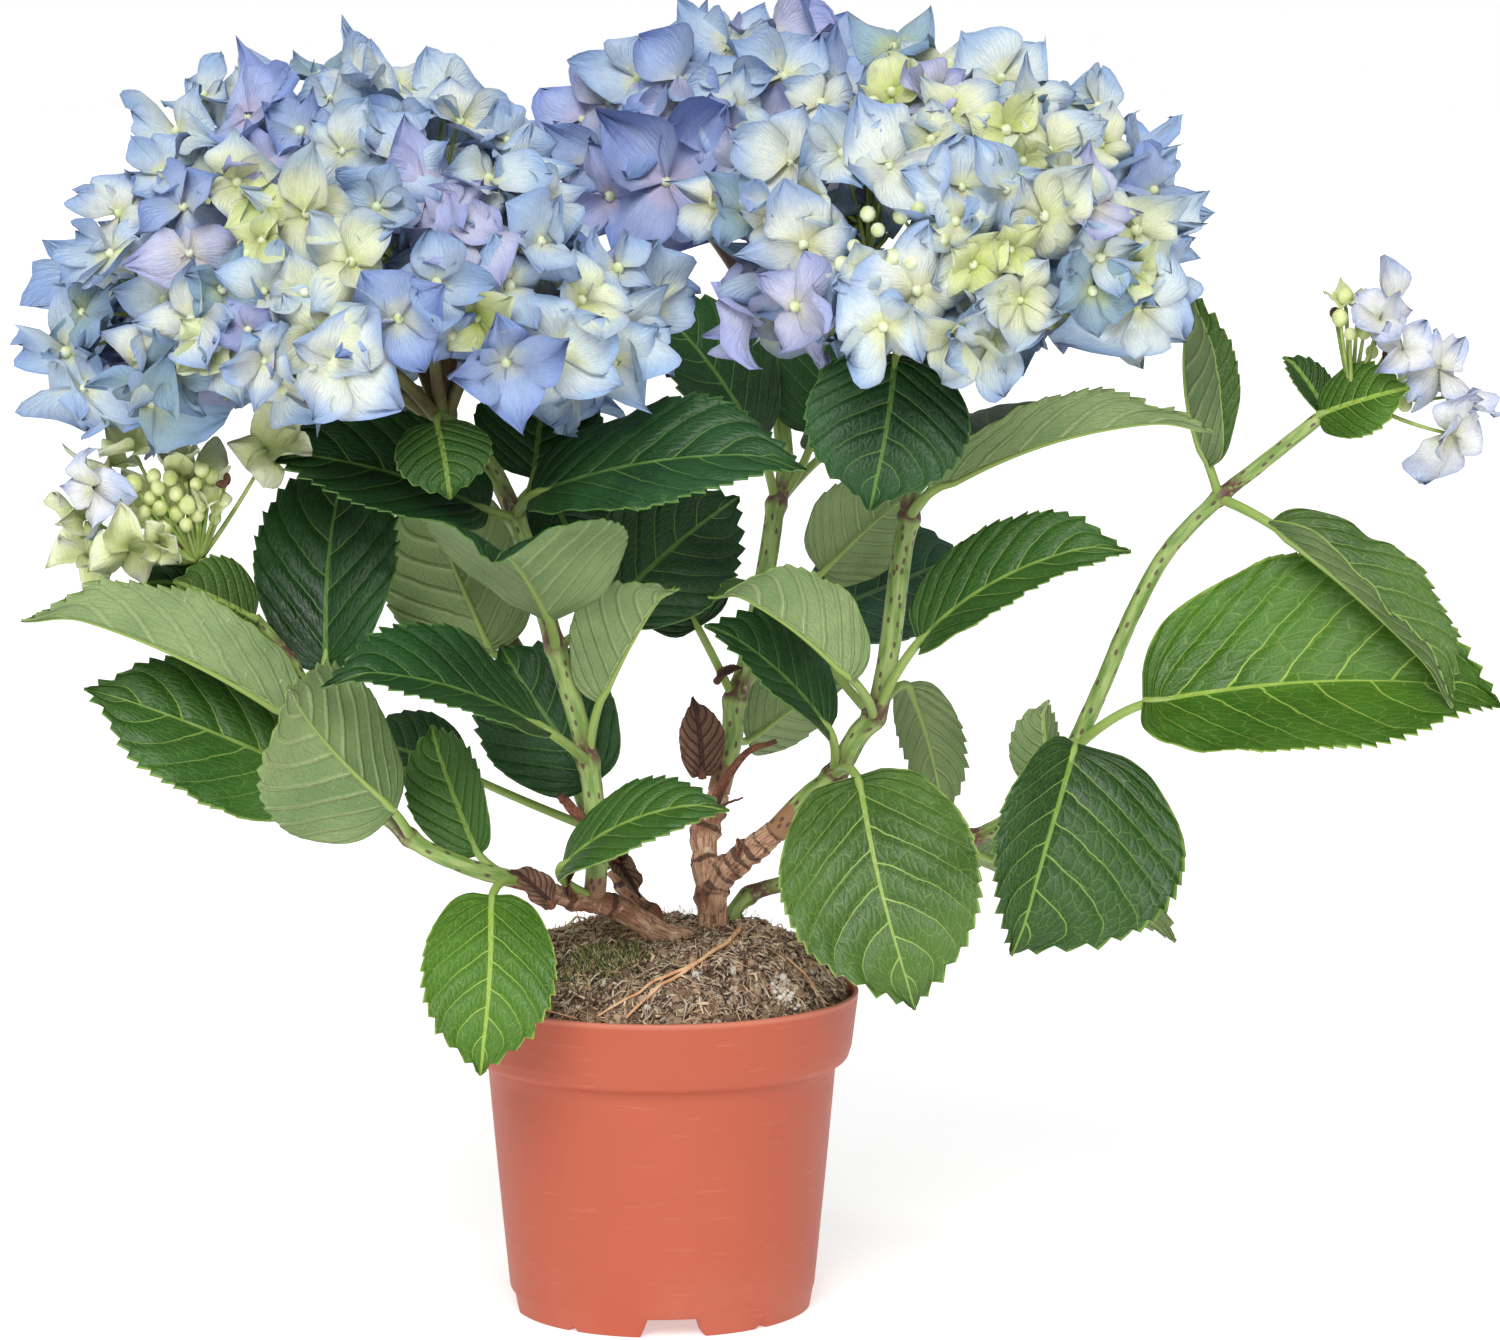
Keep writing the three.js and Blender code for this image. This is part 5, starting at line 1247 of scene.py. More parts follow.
# florets that face the front, one a row: column and row of the picture at which its heart is seen, tint,
# length of a sepal, turn of its first sepal from the right (degrees), how far it faces right and up, how open
leftFlorets = [
    (249, 114, "blue", 30, 22, -0.3, 0.25, 1.0), (178, 128, "pale", 21, 80, -0.7, 0.2, 0.9),
    (205, 92, "pale", 19, 60, -0.4, 0.5, 0.8), (262, 160, "violet", 21, 30, -0.1, 0.4, 0.7),
    (238, 180, "cream", 20, 10, -0.2, 0.1, 0.7), (306, 212, "cream", 26, 75, 0.0, 0.15, 0.9),
    (262, 206, "lime", 15, 20, -0.1, 0.1, 0.5), (262, 238, "lime", 15, 60, 0.0, 0.0, 0.5),
    (342, 148, "pale", 23, 50, -0.1, 0.2, 0.8), (330, 96, "sky", 19, 10, 0.0, 0.6, 0.7),
    (322, 72, "teal", 18, 40, -0.1, 0.7, 0.8), (362, 84, "white", 21, 85, 0.0, 0.5, 0.6),
    (400, 86, "pale", 28, 55, 0.0, 0.5, 0.8), (446, 96, "pale", 20, 30, 0.2, 0.6, 0.7),
    (458, 118, "white", 22, 80, 0.3, 0.2, 0.7), (506, 138, "sky", 20, 15, 0.4, 0.4, 0.9),
    (396, 132, "sky", 19, 35, 0.0, 0.2, 0.6), (404, 160, "sky", 26, 25, 0.0, 0.3, 0.9),
    (428, 188, "violet", 27, 10, 0.1, 0.3, 0.9), (376, 205, "sky", 22, 70, 0.0, 0.1, 0.7),
    (488, 176, "pale", 22, 80, 0.3, 0.2, 0.7), (520, 168, "pale", 22, 75, 0.5, 0.2, 0.7),
    (472, 236, "lilac", 24, 20, 0.1, 0.3, 0.8), (350, 262, "cream", 26, 45, -0.1, 0.3, 0.8),
    (184, 205, "deep", 25, 40, -0.2, 0.2, 0.9), (190, 252, "lilac", 28, 15, -0.2, 0.1, 1.0),
    (164, 172, "sky", 19, 60, -0.4, 0.4, 0.6), (112, 252, "sky", 25, 55, -0.6, 0.05, 0.9),
    (120, 212, "white", 20, 75, -0.5, 0.3, 0.6), (264, 290, "pale", 25, 80, -0.1, 0.0, 0.8),
    (192, 320, "white", 26, 5, -0.1, 0.1, 0.9), (222, 288, "teal", 20, 60, -0.1, 0.0, 0.8),
    (248, 330, "violet", 19, 30, -0.1, 0.0, 0.6), (138, 358, "white", 26, 70, -0.35, 0.05, 0.7),
    (68, 352, "sky", 30, 0, -0.5, 0.1, 0.9), (84, 312, "teal", 22, 30, -0.5, 0.3, 0.9),
    (84, 388, "sky", 27, 50, -0.45, -0.3, 0.8), (152, 402, "teal", 30, 65, -0.1, -0.5, 0.9),
    (172, 372, "teal", 21, 20, -0.1, -0.2, 0.8), (208, 342, "lime", 15, 50, 0.0, -0.2, 0.6),
    (228, 362, "pale", 22, 30, 0.0, -0.1, 0.7), (264, 360, "white", 22, 80, 0.0, -0.2, 0.5),
    (318, 340, "cream", 25, 40, 0.0, 0.05, 0.7), (342, 368, "white", 27, 60, -0.15, -0.25, 0.8),
    (304, 292, "cream", 18, 20, 0.0, 0.1, 0.6), (398, 318, "deep", 27, 35, 0.1, 0.05, 0.8),
    (436, 282, "sky", 23, 80, 0.1, 0.1, 0.7), (476, 318, "lime", 18, 45, 0.1, 0.05, 0.6),
    (508, 284, "sky", 26, 25, 0.2, 0.15, 0.8), (452, 336, "deep", 15, 50, 0.1, -0.1, 0.6),
    (540, 240, "sky", 23, 55, 0.4, 0.2, 0.8), (580, 300, "cream", 22, 85, 0.3, 0.1, 0.6),
    (556, 356, "pale", 30, 50, 0.2, 0.0, 0.7), (505, 362, "deep", 26, 15, 0.1, -0.2, 0.6),
    (628, 330, "pale", 23, 75, 0.5, 0.05, 0.7), (612, 362, "pale", 26, 45, 0.35, -0.4, 0.8),
    (652, 304, "sky", 27, 10, 0.6, 0.1, 0.8), (616, 268, "sky", 22, 50, 0.5, 0.4, 0.8),
    (300, 128, "deep", 18, 60, 0.0, 0.3, 0.6), (452, 212, "lilac", 20, 40, 0.2, 0.2, 0.8),
    (240, 84, "pale", 20, 15, -0.2, 0.7, 0.8), (540, 200, "pale", 20, 20, 0.5, 0.3, 0.7),
]
rightFlorets = [
    (786, 160, "white", 28, 88, -0.15, 0.05, 0.8), (742, 164, "lilac", 24, 20, -0.3, 0.0, 0.8),
    (708, 200, "white", 23, 60, -0.35, 0.0, 0.9), (742, 212, "teal", 22, 40, -0.2, 0.0, 0.8),
    (887, 163, "white", 30, 42, 0.0, 0.6, 0.9), (818, 100, "white", 20, 70, -0.1, 0.3, 0.7),
    (890, 88, "lime", 18, 10, 0.0, 0.2, 0.6), (892, 42, "teal", 27, 60, 0.0, 0.5, 0.8),
    (861, 112, "lime", 10, 30, 0.0, 0.1, 0.4), (936, 62, "cream", 22, 50, 0.0, 0.5, 0.8),
    (926, 92, "lilac", 19, 15, 0.0, 0.2, 0.6), (952, 106, "cream", 22, 35, 0.0, 0.1, 0.7),
    (1002, 74, "pale", 29, 42, 0.05, 0.3, 0.9), (1006, 126, "lime", 20, 60, 0.1, 0.1, 0.7),
    (1066, 98, "teal", 22, 30, 0.3, 0.5, 0.9), (1100, 104, "pale", 22, 60, 0.4, 0.5, 0.9),
    (1052, 148, "cream", 28, 30, 0.1, 0.15, 0.8), (1104, 140, "cream", 20, 70, 0.2, 0.1, 0.6),
    (1024, 158, "lime", 14, 20, 0.1, 0.0, 0.5), (1148, 148, "sky", 26, 70, 0.55, 0.15, 0.9),
    (1158, 188, "deep", 24, 25, 0.6, 0.0, 0.8), (962, 184, "pale", 27, 88, 0.05, 0.05, 0.9),
    (1008, 188, "sky", 25, 30, 0.1, 0.05, 0.9), (1046, 214, "cream", 28, 50, 0.1, -0.05, 0.8),
    (1096, 205, "lilac", 25, 75, 0.3, 0.05, 0.8), (1140, 228, "cream", 26, 40, 0.3, 0.0, 0.8),
    (1132, 268, "lime", 17, 80, 0.25, -0.1, 0.6), (1104, 256, "pale", 20, 20, 0.2, -0.1, 0.7),
    (1168, 226, "pale", 21, 50, 0.6, 0.1, 0.8), (1172, 272, "sky", 23, 30, 0.6, -0.1, 0.9),
    (1142, 306, "pale", 37, 65, 0.25, -0.4, 1.0), (1096, 290, "teal", 24, 10, 0.15, -0.2, 0.9),
    (1022, 300, "cream", 24, 70, 0.1, -0.15, 0.7), (1012, 248, "lime", 17, 35, 0.1, 0.0, 0.6),
    (974, 264, "lime", 19, 55, 0.05, 0.0, 0.6), (956, 220, "cream", 19, 25, 0.0, 0.05, 0.7),
    (800, 244, "white", 32, 10, -0.15, 0.1, 0.8), (806, 202, "cream", 16, 60, -0.1, 0.1, 0.5),
    (764, 218, "white", 17, 85, -0.3, 0.0, 0.5), (792, 306, "lilac", 29, 60, -0.85, -0.25, 0.9),
    (882, 326, "pale", 25, 50, 0.0, -0.5, 0.45), (916, 290, "white", 32, 85, 0.0, -0.35, 1.0),
    (958, 334, "cream", 26, 55, 0.0, -0.45, 0.7), (992, 344, "pale", 26, 20, 0.15, -0.35, 0.8),
    (862, 268, "cream", 14, 30, 0.0, 0.0, 0.4),
    (930, 136, "cream", 18, 85, 0.0, 0.1, 0.5), (840, 150, "pale", 22, 30, -0.05, 0.1, 0.8),
    (1034, 96, "pale", 20, 15, 0.2, 0.4, 0.7), (1072, 176, "cream", 18, 60, 0.2, 0.0, 0.6),
]
backFlorets = [
    (664, 183, "blue", 36, 42, 0.0, 0.25, 1.0), (640, 132, "deep", 22, 85, 0.0, 0.45, 0.8),
    (590, 160, "deep", 24, 50, -0.3, 0.1, 0.9), (606, 196, "violet", 22, 20, -0.2, -0.3, 0.8),
    (578, 118, "blue", 25, 60, -0.4, 0.3, 0.9), (552, 150, "lilac", 22, 30, -0.7, 0.0, 0.7),
    (636, 76, "sky", 27, 15, -0.2, 0.5, 0.9), (677, 78, "deep", 25, 40, 0.0, 0.4, 0.8),
    (686, 40, "sky", 20, 70, 0.0, 0.7, 0.8), (730, 44, "sky", 24, 55, 0.0, 0.6, 0.8),
    (772, 34, "lilac", 26, 10, 0.1, 0.6, 0.9), (676, 108, "lilac", 18, 80, 0.0, 0.2, 0.6),
    (732, 86, "sky", 22, 30, 0.0, 0.3, 0.8), (786, 74, "sky", 26, 50, 0.0, 0.3, 0.9),
    (843, 50, "deep", 25, 60, 0.1, 0.45, 0.9), (846, 86, "deep", 26, 20, 0.1, 0.2, 0.9),
    (736, 112, "pale", 22, 75, 0.0, 0.1, 0.7), (574, 188, "deep", 20, 70, -0.5, -0.2, 0.7),
    (606, 100, "lilac", 22, 45, -0.3, 0.4, 0.8), (712, 130, "violet", 20, 10, 0.0, 0.1, 0.7),
]
# ball-shaped buds between the florets: column and row of the picture
rightBuds = [(878, 230), (901, 216), (918, 209), (926, 246), (842, 264), (892, 257), (942, 238), (903, 118),
             (948, 66), (868, 214), (854, 246), (912, 262), (888, 120), (872, 104)]
leftBuds = [(421, 325), (508, 340), (165, 340), (305, 378), (228, 280), (122, 258), (245, 254)]
# Each head is a dome over its centre, with half sizes sideways, up and down; its branches start from the hub.
# layers: how many fillers, on what share of the dome, and their size. openings: where one sees in between the
# florets, as picture spots and half sizes.
heads = {
    "head_left": {
        "centre": (-107, -20, 346), "half": (119, 94), "up": 103, "down": 64, "hub": (-75, -22, 319),
        "drawnIn": (1.0, 0.97, 0.98), "sepalShare": 0.8,
        "layers": [(120, 0.84, 23), (74, 0.70, 20), (34, 0.50, 16)], "lowest": 112, "seed": 31,
        "tints": {"sky": 0.36, "pale": 0.26, "deep": 0.14, "violet": 0.06, "lilac": 0.1, "teal": 0.08},
        "front": leftFlorets, "buds": leftBuds, "branches": 9,
        "openings": [((432, 384), (74, 52)), ((690, 390), (44, 44))],
    },
    "head_right": {
        "centre": (102, -34, 366), "half": (90, 74), "up": 86, "down": 60, "hub": (92, -20, 331),
        "drawnIn": (0.97, 0.96, 0.97), "sepalShare": 0.74,
        "layers": [(84, 0.83, 22), (50, 0.68, 18), (22, 0.48, 14)], "lowest": 112, "seed": 32,
        "tints": {"pale": 0.34, "sky": 0.2, "lilac": 0.2, "cream": 0.16, "teal": 0.1},
        "front": rightFlorets, "buds": rightBuds, "branches": 8,
        "openings": [((884, 236), (58, 46)), ((1078, 352), (62, 44))],
    },
    "head_back": {
        "centre": (22, 95, 398), "half": (72, 62), "up": 64, "down": 44, "hub": (36, 84, 352),
        "drawnIn": (0.96, 0.96, 0.96), "sepalShare": 0.84,
        "layers": [(62, 0.82, 21), (38, 0.66, 17), (16, 0.46, 13)], "lowest": 108, "seed": 33,
        "tints": {"violet": 0.4, "deep": 0.3, "sky": 0.18, "lilac": 0.12},
        "front": backFlorets, "buds": [], "branches": 7, "openings": [((680, 240), (34, 24))],
    },
}


def petalMaterial(name, heart, middle, edge):
    # three tones from the heart of the floret to the tip of the sepal, faint veins that fan out, soft sheen
    material, tree = newMaterial(name)
    across, along = parts(ownMap(tree, "petal"))[:2]
    place = objectPlace(tree)
    blot = noise(place, 45, 3)
    far = plus(along, times(minus(blot, 0.5), 0.7))
    side = maths("ABSOLUTE", across)
    far = plus(far, times(maths("POWER", side, 2.5), 0.3))
    tone = coat(heart, middle, fade(far, 0.0, 0.38))
    tone = coat(tone, edge, fade(far, 0.4, 1.0))
    patch = noise(place, 110, 4, 0.65)
    tone = coat(tone, srgb(160, 152, 196), fade(patch, 0.5, 0.7), 0.22)
    fan = maths("DIVIDE", across, plus(along, 0.35))
    fanLine = joined(times(fan, 5.0), times(along, 1.6))
    vein = noise(fanLine, 2.2, 3, 0.6)
    veinLine = fade(maths("ABSOLUTE", minus(vein, 0.5)), 0.035, 0.0)
    veinTone = [0.55 * a + 0.45 * b for a, b in zip(edge, srgb(96, 104, 150))]
    tone = coat(tone, veinTone, veinLine, 0.36)
    rim = times(fade(side, 0.88, 1.0), 0.5)
    tone = coat(tone, veinTone, rim)
    return finished(material, tone, 0.6, 0.25, plus(vein, times(blot, 0.6)), 0.0012, 0.8, sheen=0.1)


def sepalGrids(centres, normals, sizes, spins, opened, dice):
    # broad sepals round each centre. On each, v runs from heart to tip and w across:
    # centre + out.size.v + across.half(v).w + normal.height, height = lift v + cup v^2 + roll w^2 + waves
    d = sepalDetail
    n, count = len(centres), d["perFloret"]
    v = np.linspace(0, 1, d["rows"])[None, None, :, None] ** 0.9
    w = np.linspace(1, -1, d["columns"])[None, None, None, :]
    side = unit(np.cross(np.array([[0, 0, 1.0]]), normals + (1e-4, 0, 0)))
    other = np.cross(normals, side)
    turn = spins[:, None] + roundTurns(count) + dice.normal(0, 0.12, (n, count))
    out = np.cos(turn)[..., None] * side[:, None] + np.sin(turn)[..., None] * other[:, None]
    across = np.cross(normals[:, None], out)

    def own(low, high):
        return dice.uniform(low, high, (n, count))[:, :, None, None]

    length = sizes[:, None, None, None] * own(0.86, 1.16)
    broad = length * own(0.5, 0.66)
    drawn = own(0.62, 1.25)
    peak = 0.6 / (0.6 + drawn)
    half = broad * v ** 0.6 * (1 - v) ** drawn / (peak ** 0.6 * (1 - peak) ** drawn)
    cupped = (1 - opened)[:, None, None, None]
    lift = own(-0.2, 0.36) + 0.9 * cupped
    cup = own(-0.6, 0.4) + 0.2 * cupped
    roll = np.where(own(0, 1) < 0.6, own(-1.2, -0.3), own(0.1, 1.0)) + 0.3 * cupped
    hook = own(-0.5, 0.3)
    twist = own(-0.5, 0.5)
    phase = own(0, 2 * np.pi)
    height = length * (lift * v + cup * v ** 2 + hook * v ** 5)
    height = height + half * (roll * w ** 2 * (0.5 + 0.8 * v) + twist * w)
    height = height + length * own(0.06, 0.18) * np.sin(2 * np.pi * 1.4 * v + phase) * np.sign(w) * w ** 2
    height = height + length * own(0.05, 0.15) * np.sin(np.pi * 2.2 * w + phase) * v
    steep = np.clip(np.abs(lift + cup), 0, 1.2)
    forward = length * v * (1 - 0.28 * steep) + length * 0.07 * v ** 7
    swing = length * own(-0.12, 0.12) * v ** 2
    point = centres[:, None, None, None] + out[:, :, None, None] * forward[..., None]
    sideways = half * w * (1 - 0.26 * np.abs(roll)) + swing
    point = point + across[:, :, None, None] * sideways[..., None]
    point = point + normals[:, None, None, None] * (height + 0.4)[..., None]
    return point.reshape(n * count, d["rows"], d["columns"], 3)


def petalMaps(count):
    d = sepalDetail
    w = np.linspace(1, -1, d["columns"])
    v = np.linspace(0, 1, d["rows"])
    petal = np.stack(np.broadcast_arrays(w[None, :], v[:, None]), -1)[None]
    return {"petal": cornersOf(petal), "OFBake": boardMap(d["rows"], d["columns"] - 1, tileBoxes(count))}


def laySepals(name, florets, dice):
    # one piece of all the sepals, each floret's in its own tint
    places, normals, sizes, tint, spins, opened = florets
    grids = sepalGrids(places, normals, sizes, spins, opened, dice)
    part = emptyPart()
    layGrids(part, grids, np.repeat(tint, sepalDetail["perFloret"]), maps=petalMaps(len(grids)))
    makePiece(name + "_sepals", part, petalFinishes, [name])


def layStalks(name, bundles, finishes):
    # tubes of several thicknesses on one board, one finish for each bundle
    part = emptyPart()
    boxes = tileBoxes(sum(len(bundle) for bundle in bundles))
    laid = 0
    for k, bundle in enumerate(bundles):
        layTubes(part, bundle, min(k, len(finishes) - 1), boxes[laid:laid + len(bundle)])
        laid += len(bundle)
    makePiece(name + "_stalks", part, finishes)


def domeRadii(head, z):
    # the dome's half sizes, which differ above and below its centre
    up = np.where(z > head["centre"][2], head["up"], head["down"])
    return np.stack([np.full(len(up), head["half"][0]), np.full(len(up), head["half"][1]), up], axis=-1)


def onDomeFront(head, spots, share):
    # where the lines of sight through these picture spots meet the front of the dome, drawn in to the share.
    # A few rounds of: y = centre - depth . sqrt(1 - across^2 - up^2)
    columns, rows = np.array(spots, float).T
    centre = np.array(head["centre"], float)
    y = np.full(len(columns), centre[1])
    for _ in range(6):
        place = atPictureSpot(columns, rows, y)
        radii = domeRadii(head, place[:, 2]) * share
        off = (place - centre) / radii
        y = centre[1] - radii[:, 1] * np.sqrt(np.clip(1 - off[:, 0] ** 2 - off[:, 2] ** 2, 0.0, 1))
    place = atPictureSpot(columns, rows, y)
    outward = unit((place - centre) / domeRadii(head, place[:, 2]) ** 2)
    return place, outward


def frontFlorets(head, dice):
    # the florets that are set out one by one
    rows = head["front"]
    place, outward = onDomeFront(head, [row[:2] for row in rows], 0.9)
    centre = np.array(head["centre"], float)
    place = centre + (place - centre) * head["drawnIn"]
    tilt = np.array([(row[5], 0, row[6]) for row in rows])
    normals = unit(0.35 * outward + (0, -0.8, 0) + tilt + dice.normal(0, 0.07, outward.shape))
    sizes = np.array([row[3] for row in rows], float) * head["sepalShare"]
    tint = np.array([petalNames.index(row[2]) for row in rows])
    spins = np.radians([row[4] for row in rows])
    return place, normals, sizes, tint, spins, np.array([row[7] for row in rows], float)


def fillFlorets(head, dice):
    # the rest, spread by the golden angle over shells of the dome: z = 1 - (i + 1/2)/n (1 - cos lowest).
    # On the outer shell those that would face the front are left out
    centre = np.array(head["centre"], float)
    eye = np.array(view["place"], float)
    kept = []
    for layer, (count, share, size) in enumerate(head["layers"]):
        i = np.arange(count)
        z = 1 - (i + 0.5) / count * (1 - np.cos(np.radians(head["lowest"])))
        z = np.clip(z + dice.normal(0, 0.03, count), -0.6, 1)
        turn = i * goldenAngle + dice.normal(0, 0.14, count) + 2.1 * layer
        way = waysFrom(z, turn)
        radii = domeRadii(head, centre[2] + way[:, 2])
        drawnIn = np.array([0.8, 1.0, 0.76]) if layer == 0 else np.array([0.92, 1.0, 0.88])
        place = centre + way * radii * drawnIn * (share + dice.normal(0, 0.035, count))[:, None]
        outward = unit(way / radii)
        normals = unit(outward + dice.normal(0, 0.32, (count, 3)) + (0, -0.05, 0.04))
        names, weights = list(head["tints"]), np.array(list(head["tints"].values()))
        chosen = dice.choice(len(names), count, p=weights / weights.sum())
        tint = np.array([petalNames.index(name) for name in names])[chosen]
        deepIn = dice.random(count)
        # the innermost shell mostly in the green tint: greener florets of their own, their darker tone
        # painted shade deep inside the head
        tint = np.where((layer == 2) & (deepIn < 0.7), petalNames.index("leafyShaded"), tint)
        tint = np.where((layer == 1) & (deepIn < 0.3), petalNames.index("cream"), tint)
        facing = np.sum(outward * unit(eye - place), axis=-1)
        keep = facing < 0.22 if layer == 0 else np.full(count, True)
        lengths = size * dice.uniform(0.84, 1.16, count)
        opened = np.clip(dice.normal(0.8, 0.16, count), 0.3, 1.1)
        spins = dice.uniform(0, np.pi, count)
        kept.append([values[keep] for values in (place, normals, lengths, tint, spins, opened)])
    return [np.concatenate(values) for values in zip(*kept)]


def pictureSpots(points):
    # columns and rows of the picture at which the camera sees these points
    tilt = np.radians(view["tiltDown"])
    off = points - np.array(view["place"], float)
    deep = np.cos(tilt) * off[:, 1] - np.sin(tilt) * off[:, 2]
    up = np.sin(tilt) * off[:, 1] + np.cos(tilt) * off[:, 2]
    width, height = view["pictureSize"]
    return width / 2 + view["focalPixels"] * off[:, 0] / deep, height / 2 - view["focalPixels"] * up / deep


def headFlorets(head):
    dice = np.random.default_rng(head["seed"])
    front = frontFlorets(head, dice)
    fill = fillFlorets(head, dice)
    # fillers seen through the openings are left out
    columns, rows = pictureSpots(fill[0])
    inside = np.zeros(len(columns), bool)
    for (middleColumn, middleRow), (halfWide, halfHigh) in head["openings"]:
        inside |= ((columns - middleColumn) / halfWide) ** 2 + ((rows - middleRow) / halfHigh) ** 2 < 1
    both = [np.concatenate([a, b[~inside]]) for a, b in zip(front, fill)]
    return both, dice


def headStalks(head, places, normals, buds, dice):
    # thick branches fan out from the hub; each floret's own stalk bends from behind it to the nearest branch
    hub, centre = np.array(head["hub"], float), np.array(head["centre"], float)
    k = np.arange(head["branches"])
    z = 0.7 - 0.8 * (k + 0.5) / head["branches"]
    radii = np.array([*head["half"], head["up"]])
    tips = centre + waysFrom(z, k * goldenAngle + 0.5) * radii * 0.45
    tips[:, 2] = np.maximum(tips[:, 2], hub[2] + 8)
    hubs = np.repeat(hub[None], len(k), axis=0)
    bends = hubs * 0.6 + tips * 0.4 + (0, 0, 6)
    thick = tubes(bentLines(hubs - (0, 0, 3), bends, tips, 9), np.linspace(2.7, 1.5, 9)[None], 8)
    ends = np.concatenate([places - normals * 0.4, buds])
    back = np.concatenate([normals, unit(buds - centre) if len(buds) else buds])
    gap = np.linalg.norm(ends[:, None] - tips[None], axis=-1)
    nearest = tips[np.argmin(gap, axis=1)]
    middle = (ends + nearest) / 2 - back * 6 + dice.normal(0, 1.5, ends.shape)
    thin = tubes(bentLines(nearest, middle, ends, 7), np.linspace(0.95, 0.62, 7)[None], 5)
    return thick, thin


def makeHeads():
    bead, stalkGreen, stalkPurple = plainMaterials(flowerTones)
    d = beadDetail
    for name, head in heads.items():
        florets, dice = headFlorets(head)
        places, normals = florets[:2]
        laySepals(name, florets, dice)
        buds = np.zeros((0, 3))
        if head["buds"]:
            buds, _ = onDomeFront(head, head["buds"], 0.88)
        centres = np.concatenate([places + normals * 1.2, buds])
        hearts, ballBuds = dice.uniform(*d["radius"], len(places)), dice.uniform(*d["budRadius"], len(buds))
        radius = np.concatenate([hearts, ballBuds])
        part = emptyPart()
        layTubes(part, beads(centres, np.repeat(radius[:, None], 3, axis=1), d["rings"], d["sides"]))
        makePiece(name + "_beads", part, [bead])
        bundles = headStalks(head, places, normals, buds, dice)
        layStalks(name, bundles, [stalkPurple, stalkGreen])
    return stalkGreen


petalFinishes = [petalMaterial(name + "Sepal", *[srgb(*tone) for tone in tones])
                 for name, tones in petalTones.items()]
stalkFinish = makeHeads()
print("flower heads ready")


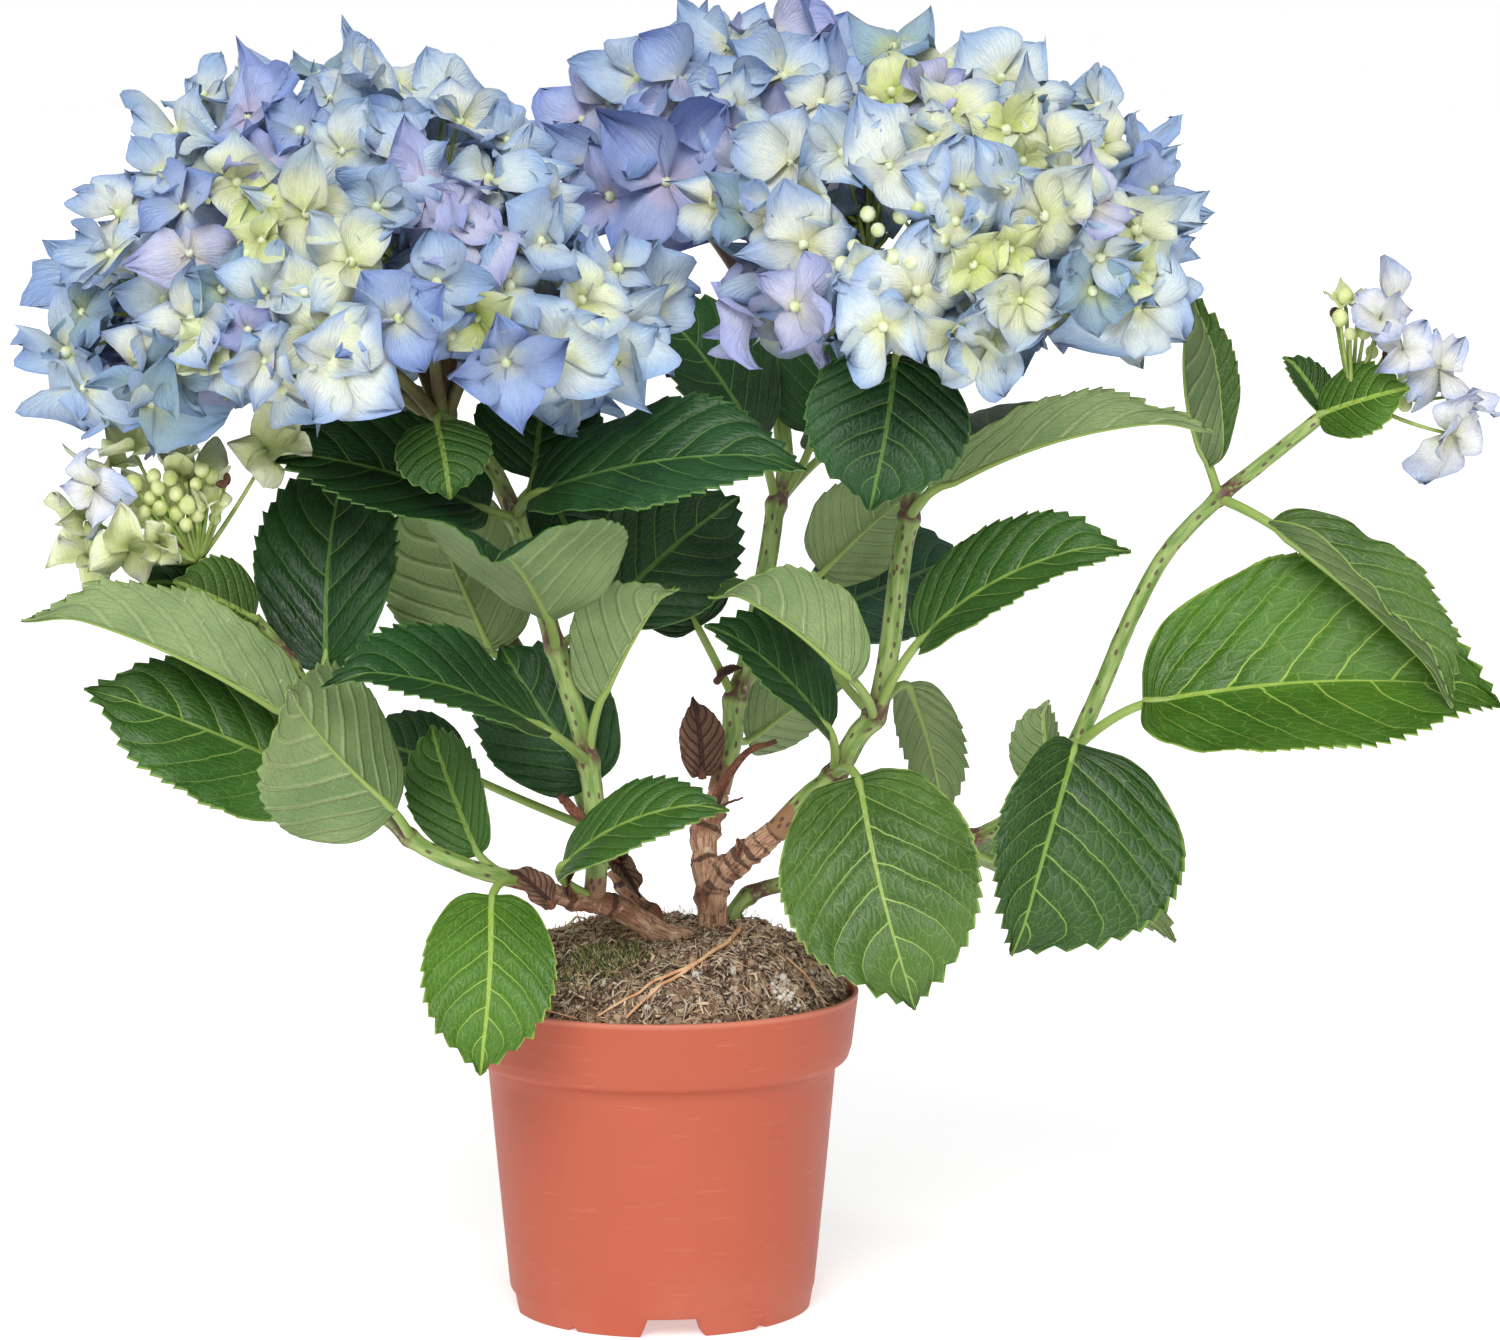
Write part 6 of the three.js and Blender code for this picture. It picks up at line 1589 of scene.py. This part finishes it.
# young clusters at the two low tips
clusters = {
    "cluster_left": {
        "twig": [(-139.4, -48, 252.6), (-150, -52, 262), (-157, -56, 272)], "seed": 51,
        # florets: column and row of the picture, depth, way it faces, size, tint, how far open, turn
        "florets": [
            (96, 488, -60, (-0.85, -0.5, 0.15), 16, "milk", 0.7, 5),
            (134, 452, -52, (-0.1, -0.6, 0.7), 14, "young", 0.35, 60),
            (129, 548, -68, (0.05, -0.85, -0.4), 15, "young", 0.6, 20),
            (88, 556, -56, (-0.3, -0.6, -0.8), 15, "young", 0.5, 5),
            (86, 520, -50, (-0.8, -0.3, -0.2), 13, "young", 0.5, 10),
            (181, 476, -58, (0.0, -0.4, 0.9), 9, "lime", 0.1, 0),
            (268, 452, -52, (0.1, -0.8, 0.4), 17, "young", 0.6, 75),
            (112, 468, -38, (-0.4, 0.3, 0.8), 13, "young", 0.5, 70),
            (160, 540, -70, (0.1, -0.9, -0.3), 9, "young", 0.3, 40),
            (208, 505, -62, (0.2, -0.6, 0.6), 9, "lime", 0.1, 80),
            (150, 500, -26, (-0.1, 0.9, 0.3), 13, "young", 0.6, 30),
            (190, 480, -24, (0.3, 0.8, 0.4), 13, "lime", 0.5, 60),
        ],
        "buds": [(133, 484), (154, 476), (158, 488), (145, 512), (160, 508), (188, 505), (166, 527),
                 (186, 525), (196, 484), (204, 495), (211, 476), (202, 470), (215, 518), (176, 494),
                 (177, 514), (150, 498), (197, 514), (170, 478), (224, 500), (140, 500)],
        "budDepth": -62, "budSize": 2.95,
        "brown": [(227, 479), (178, 547), (172, 541), (222, 484), (186, 552)],
        "leaflets": [
            ((-139, -54, 253), (-25, -14, 14), (0.1, -0.8, 0.55), 34, 8, 20, "fresh"),
            ((-148, -46, 262), (-30, -8, 3), (0, -0.7, 0.7), 24, 10, 12, "deep"),
        ],
    },
    "cluster_right": {
        "twig": [(230.4, -12, 318.3), (236, -13, 322), (241, -15, 326)], "seed": 52,
        "florets": [
            (1380, 320, -22, (-0.2, -0.8, 0.3), 13, "milk", 0.25, 45),
            (1402, 350, -26, (0.3, -0.9, 0.1), 13, "milk", 0.3, 40),
            (1390, 306, -14, (0.3, -0.8, 0.3), 14, "milk", 0.8, 5),
            (1438, 370, -18, (0.6, -0.6, 0.4), 15, "milk", 0.7, 30),
            (1450, 434, -20, (0.45, -0.85, -0.1), 19, "milk", 0.8, 88),
            (1346, 306, -16, (-0.2, -0.6, 0.8), 8, "lime", 0.1, 20),
            (1452, 396, -4, (0.8, -0.3, 0.2), 14, "milk", 0.7, 30),
            (1412, 372, 6, (0.4, 0.8, 0.3), 12, "milk", 0.6, 50),
        ],
        "buds": [(1345, 296), (1350, 334), (1340, 318), (1405, 404), (1372, 352), (1364, 332)],
        "budDepth": -17, "budSize": 2.9, "brown": [(1377, 336), (1335, 313), (1385, 355), (1357, 318)],
        "leaflets": [
            ((231, -14, 320), (28, -16, 10), (0, -0.85, 0.5), 28, 8, 12, "bright"),
            ((233, -9, 320), (-14, 8, 20), (0.5, -0.75, 0.3), 17, 10, 20, "rich"),
        ],
    },
}


budTones = {
    "ballBud": ((196, 208, 122), (232, 236, 178), 0.5, 260),
    "witheredBud": ((70, 42, 32), (122, 82, 60), 0.85, 400),
}


def makeClusters():
    budFinishes = plainMaterials(budTones)
    for name, c in clusters.items():
        dice = np.random.default_rng(c["seed"])
        columns, rows, depths, ways, sizes, tints, opened, spins = zip(*c["florets"])
        places = atPictureSpot(*[np.array(values, float) for values in (columns, rows, depths)])
        normals = unit(np.array(ways, float))
        tint = np.array([petalNames.index(tone) for tone in tints])
        florets = (places, normals, np.array(sizes, float), tint, np.radians(spins), np.array(opened, float))
        laySepals(name, florets, dice)
        columns, rows = np.array(c["buds"] + c["brown"], float).T
        count, green = len(columns), len(c["buds"])
        buds = atPictureSpot(columns, rows, c["budDepth"] + dice.normal(0, 4.5, count))
        radius = c["budSize"] * dice.uniform(0.72, 1.1, (count, 1)) * np.array([[1, 1, 1.1]])
        radius[green:] *= dice.uniform(0.35, 0.8, (len(c["brown"]), 3))
        part = emptyPart()
        layTubes(part, beads(buds, radius, 8, 12), (np.arange(count) >= green).astype(int))
        makePiece(name + "_buds", part, budFinishes)
        ends = np.concatenate([places - normals, buds])
        starts = np.repeat(np.array(c["twig"][-1:], float), len(ends), axis=0)
        bends = starts * 0.5 + ends * 0.5 + (0, 0, -3)
        thin = tubes(bentLines(starts, bends, ends, 7), np.linspace(0.95, 0.6, 7)[None], 6)
        twig = tubes(curveThrough(c["twig"], 6)[None], np.linspace(2.1, 1.7, 13)[None], 10)
        layStalks(name, (twig, thin), [stalkFinish])
        for k, (*row, tone) in enumerate(c["leaflets"]):
            part = growLeaf(row, (0, 1, 2), seed=900 + 10 * k)
            makePiece(f"{name}_leaflet_{k + 1}", part, [leafTops[tone], leafPale, leafStalk])


makeClusters()
print("clusters ready")
